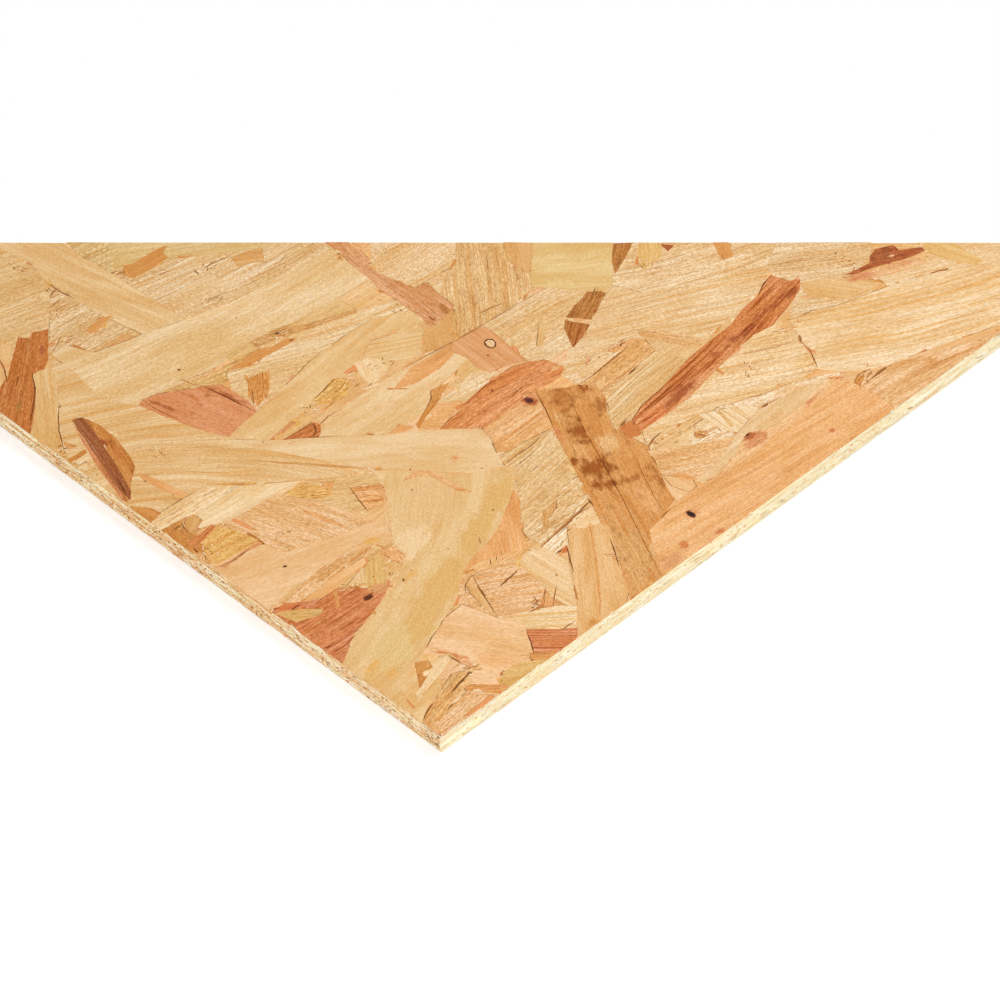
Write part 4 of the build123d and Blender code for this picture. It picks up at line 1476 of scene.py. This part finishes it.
faceSplinters = {
    "count": 20, "length": (0.9, 4.2), "width": (0.25, 0.85), "lean": 0.4, "voids": 0.25,
    "tones": ("white", "white", "pale", "pale", "cream", "wheat", "tan", "gold", "ginger", "brown"),
    "reach": (9, 4), "turn": 0.5,
}
faceRelief = {
    "pitch": (0.9, 0.9), "leastSpots": 9, "seed": 5,
    "follow": 0.75, "step": (0.03, 0.21), "deepest": 0.65, "tilt": 0.12,
    "wall": 1.1, "fineness": 1.0,
}
rimNick = {"apart": (10, 60), "length": (1.0, 5), "depth": (0.05, 0.4, 0.12)}

faceStrips, faceBlocks = 6, (2, 3)
faceSize = np.array(sheetSize[:2])
underInset = 0.35                    # millimetres that the underside's strands keep in from the sawn edges
underSize = faceSize - 2 * underInset
topPlace = facePlace((sheetLow.x, sheetLow.y, sheetHigh.z), (1, 0, 0), (0, 1, 0), (0, 0, 1))
underCorner = (sheetLow.x + underInset * mm, sheetHigh.y - underInset * mm, sheetLow.z)
underPlace = facePlace(underCorner, (1, 0, 0), (0, -1, 0), (0, 0, -1))


def faceStrands(seed, size, patches, placed):
    rng = random.Random(seed)
    strands = scatterFaceStrands(rng, size, faceSpread)
    for _ in range(patches):
        middle = (rng.uniform(0, size[0]), rng.uniform(0, size[1]))
        turn = rng.gauss(0, faceSplinters["turn"])
        strands += scatterSplinters(rng, middle, faceSplinters["reach"], turn, faceSplinters)
    return strands + placed + rimNicks(rng, size, rimNick)


faces = {
    "topStrands": (11, faceSize, topPlace, 70, placedStrands()),     # 70 rough patches, fewer below
    "undersideStrands": (23, underSize, underPlace, 10, []),
}
for label, (seed, size, place, patches, placed) in faces.items():
    laid = layFlakes(faceStrands(seed, size, patches, placed), size, faceRelief)
    strips = [[] for _ in range(faceStrips)]
    for flake in laid:
        height = min(max(flake[1][:, 1].mean() / size[1], 0), 0.999)
        strips[int(height * faceStrips)].append(flake)
    for number, strip in enumerate(strips):
        flakeMesh(label + str(number + 1), strip, place, faceRelief, faceBlocks, strandWood)


# Sawn edges

edgeSpread = {
    "layers": 1.6, "thick": (0.4, 1.5, 0.8), "lean": math.radians(1.5), "jag": 1.2,
    "past": (10, 0.3), "tile": (70, 2.2), "topOverlap": 0.4,
    "speckLean": 0.15, "speckHeight": 0.3,   # the share of the height where most specks and pits are
}
longEdgeLook = {
    "shares": longEdgeSharesWithPaintedLight, "blots": (0.15, 0.45), "length": (4, 50, 14),
    "specks": {"each": 2.4, "length": (0.5, 2.6), "width": (0.25, 0.9)},   # one to that many millimetres
    "speckTones": ("wheat", "tan", "tan", "gold", "gold", "fawn", "apricot", "ginger"),
    "pits": {"each": 12.0, "length": (0.5, 2.2), "width": (0.25, 0.7)},
    "slots": {"each": 24.0, "length": (2.2, 6.5), "width": (0.5, 1.1)},
    "lowRim": {"each": 14.0, "length": (0.8, 3.0), "width": (0.4, 1.2)},   # crumbled spots of the arris
}
endEdgeLook = {
    "shares": endEdgeShares, "blots": (0.3, 0.8), "length": (2.5, 26, 7),
    "specks": {"each": 0.5, "length": (0.5, 2.2), "width": (0.3, 1.0)},
    "speckTones": ("ivory", "ivory", "bone", "ginger", "amber", "brown", "brown", "russet", "umber", "plum"),
    "pits": {"each": 1.8, "length": (0.6, 1.8), "width": (0.35, 0.9)},
    "slots": {"each": 14.0, "length": (1.5, 4.0), "width": (0.5, 1.2)},
    "lowRim": {"each": 5.0, "length": (0.8, 3.0), "width": (0.5, 1.7)},
}
edgeRelief = {
    "pitch": (0.6, 0.1), "leastSpots": 6, "seed": 8,
    "follow": 0.6, "step": (0.01, 0.07), "deepest": 0.3, "tilt": 0.02,
    "wall": 1.1, "fineness": 2.6,    # the sawn grain is finer than a face's
}


def scatterEdgeStrands(seed, size, spread, look):
    rng = random.Random(seed)
    strands, covered = baseStrands(rng, size, spread["tile"], look["shares"]), 0
    while covered < spread["layers"] * size[0] * size[1]:
        length, thick = rng.triangular(*look["length"]), rng.triangular(*spread["thick"])
        middle = [rng.uniform(-past, side + past) for side, past in zip(size, spread["past"])]
        angle = rng.gauss(0, spread["lean"])
        outline = turned(strandShape(rng, length, thick, spread["jag"]), angle, middle)
        strands.append(strandOf(outline, angle, pickTone(rng, look["shares"]), rng,
                                blots=rng.uniform(*look["blots"]), rings=0.0, lined=0.0))
        covered += length * thick
    for kind in ("specks", "pits", "slots", "lowRim"):
        for _ in range(int(size[0] / look[kind]["each"])):
            angle, along = rng.gauss(0, spread["speckLean"]), rng.uniform(0, size[0])
            up = 0 if kind == "lowRim" else rng.triangular(0, size[1], spread["speckHeight"] * size[1])
            outline = sliver(rng, (along, up), angle, look[kind])
            if kind == "specks":
                tone = rng.choice(look["speckTones"])
                strands.append(strandOf(outline, angle, tone, rng, kept=True, lined=0.0))
            else:
                strands.append(voidOf(outline))
    return strands


topOverlap = edgeSpread["topOverlap"]
edgeHeight = sheetSize[2] - topOverlap
longEdge = (sheetSize[0], edgeHeight)
endEdge = (sheetSize[1] - 2 * topOverlap, edgeHeight)
leftCorner = (sheetLow.x, sheetHigh.y - topOverlap * mm, sheetLow.z)
rightCorner = (sheetHigh.x, sheetLow.y + topOverlap * mm, sheetLow.z)
edgeBlocks = (1, 12)
edges = {                            # seed, size, look, corner, directions along and out
    "frontEdge": (31, longEdge, longEdgeLook, (sheetLow.x, sheetLow.y, sheetLow.z), (1, 0, 0), (0, -1, 0)),
    "backEdge": (32, longEdge, longEdgeLook, (sheetHigh.x, sheetHigh.y, sheetLow.z), (-1, 0, 0), (0, 1, 0)),
    "leftEdge": (33, endEdge, endEdgeLook, leftCorner, (0, -1, 0), (-1, 0, 0)),
    "rightEdge": (34, endEdge, endEdgeLook, rightCorner, (0, 1, 0), (1, 0, 0)),
}
for label, (seed, size, look, origin, right, out) in edges.items():
    laid = layFlakes(scatterEdgeStrands(seed, size, edgeSpread, look), size, edgeRelief)
    flakeMesh(label, laid, facePlace(origin, right, (0, 0, 1), out), edgeRelief, edgeBlocks, strandWood)


# Floor, lights and background

studio = {
    "floor": 14.0,
    "floorGap": 0.2,                 # millimetres under the sheet
    "floorColour": (0.86, 0.86, 0.86, 1),
    "floorGlow": 0.27,
    "key": {"power": 22.3, "size": 0.7, "azimuth": -27, "elevation": 29, "distance": 2.2},
    "top": {"power": 7.9, "size": 0.9, "azimuth": 95, "elevation": 60, "distance": 1.35},
    "fill": {"power": 5.4, "size": 0.6, "azimuth": -97, "elevation": 11, "distance": 1.8},
    "aim": (-0.4, -0.1, 0),
    "worldLight": 0.47,
}

bpy.ops.object.select_all(action="DESELECT")
bpy.ops.mesh.primitive_plane_add(size=studio["floor"], location=(0, 0, sheetLow.z - studio["floorGap"] * mm))
floor = bpy.context.object
floor.name = "floor"
floorMaterial = bpy.data.materials.new("paleFloor")
floorMaterial.use_nodes = True
tree = floorMaterial.node_tree
tree.nodes.clear()
paint = addNode(tree, "ShaderNodeBsdfDiffuse", {"Color": studio["floorColour"]}).outputs[0]
glow = addNode(tree, "ShaderNodeEmission", {"Strength": studio["floorGlow"]}).outputs[0]
path = addNode(tree, "ShaderNodeLightPath").outputs
seenDirectly = sums(tree, "MAXIMUM", path["Is Camera Ray"], path["Is Glossy Ray"])
nothing = addNode(tree, "ShaderNodeEmission", {"Color": (0, 0, 0, 1), "Strength": 0.0}).outputs[0]
glow = addNode(tree, "ShaderNodeMixShader", {0: seenDirectly, 1: nothing, 2: glow}).outputs[0]
addNode(tree, "ShaderNodeOutputMaterial",
        {"Surface": addNode(tree, "ShaderNodeAddShader", {0: paint, 1: glow}).outputs[0]})
floor.data.materials.append(floorMaterial)

for label in ("key", "top", "fill"):
    values = studio[label]
    light = bpy.data.lights.new(label + "Light", "AREA")
    light.energy = values["power"]
    light.size = values["size"]
    lamp = bpy.data.objects.new(label + "Light", light)
    turn, tip = math.radians(values["azimuth"]), math.radians(values["elevation"])
    back = Vector((math.sin(turn) * math.cos(tip), -math.cos(turn) * math.cos(tip), math.sin(tip)))
    lamp.location = Vector(studio["aim"]) + back * values["distance"]
    lamp.rotation_mode = "QUATERNION"
    lamp.rotation_quaternion = (-back).to_track_quat("-Z", "Y")
    bpy.context.scene.collection.objects.link(lamp)

world = bpy.data.worlds.new("studioWorld")
bpy.context.scene.world = world
world.use_nodes = True
tree = world.node_tree
tree.nodes.clear()
path = addNode(tree, "ShaderNodeLightPath").outputs
seenDirectly = sums(tree, "MAXIMUM", sums(tree, "MAXIMUM", path["Is Camera Ray"], path["Is Glossy Ray"]),
                    path["Is Transmission Ray"])
strength = addNode(tree, "ShaderNodeMapRange", {0: seenDirectly, 3: studio["worldLight"], 4: 1.0}).outputs[0]
sky = addNode(tree, "ShaderNodeBackground", {"Color": (1, 1, 1, 1), "Strength": strength}).outputs[0]
addNode(tree, "ShaderNodeOutputWorld", {"Surface": sky})
bpy.context.scene.view_settings.view_transform = "Standard"
print("studio set")
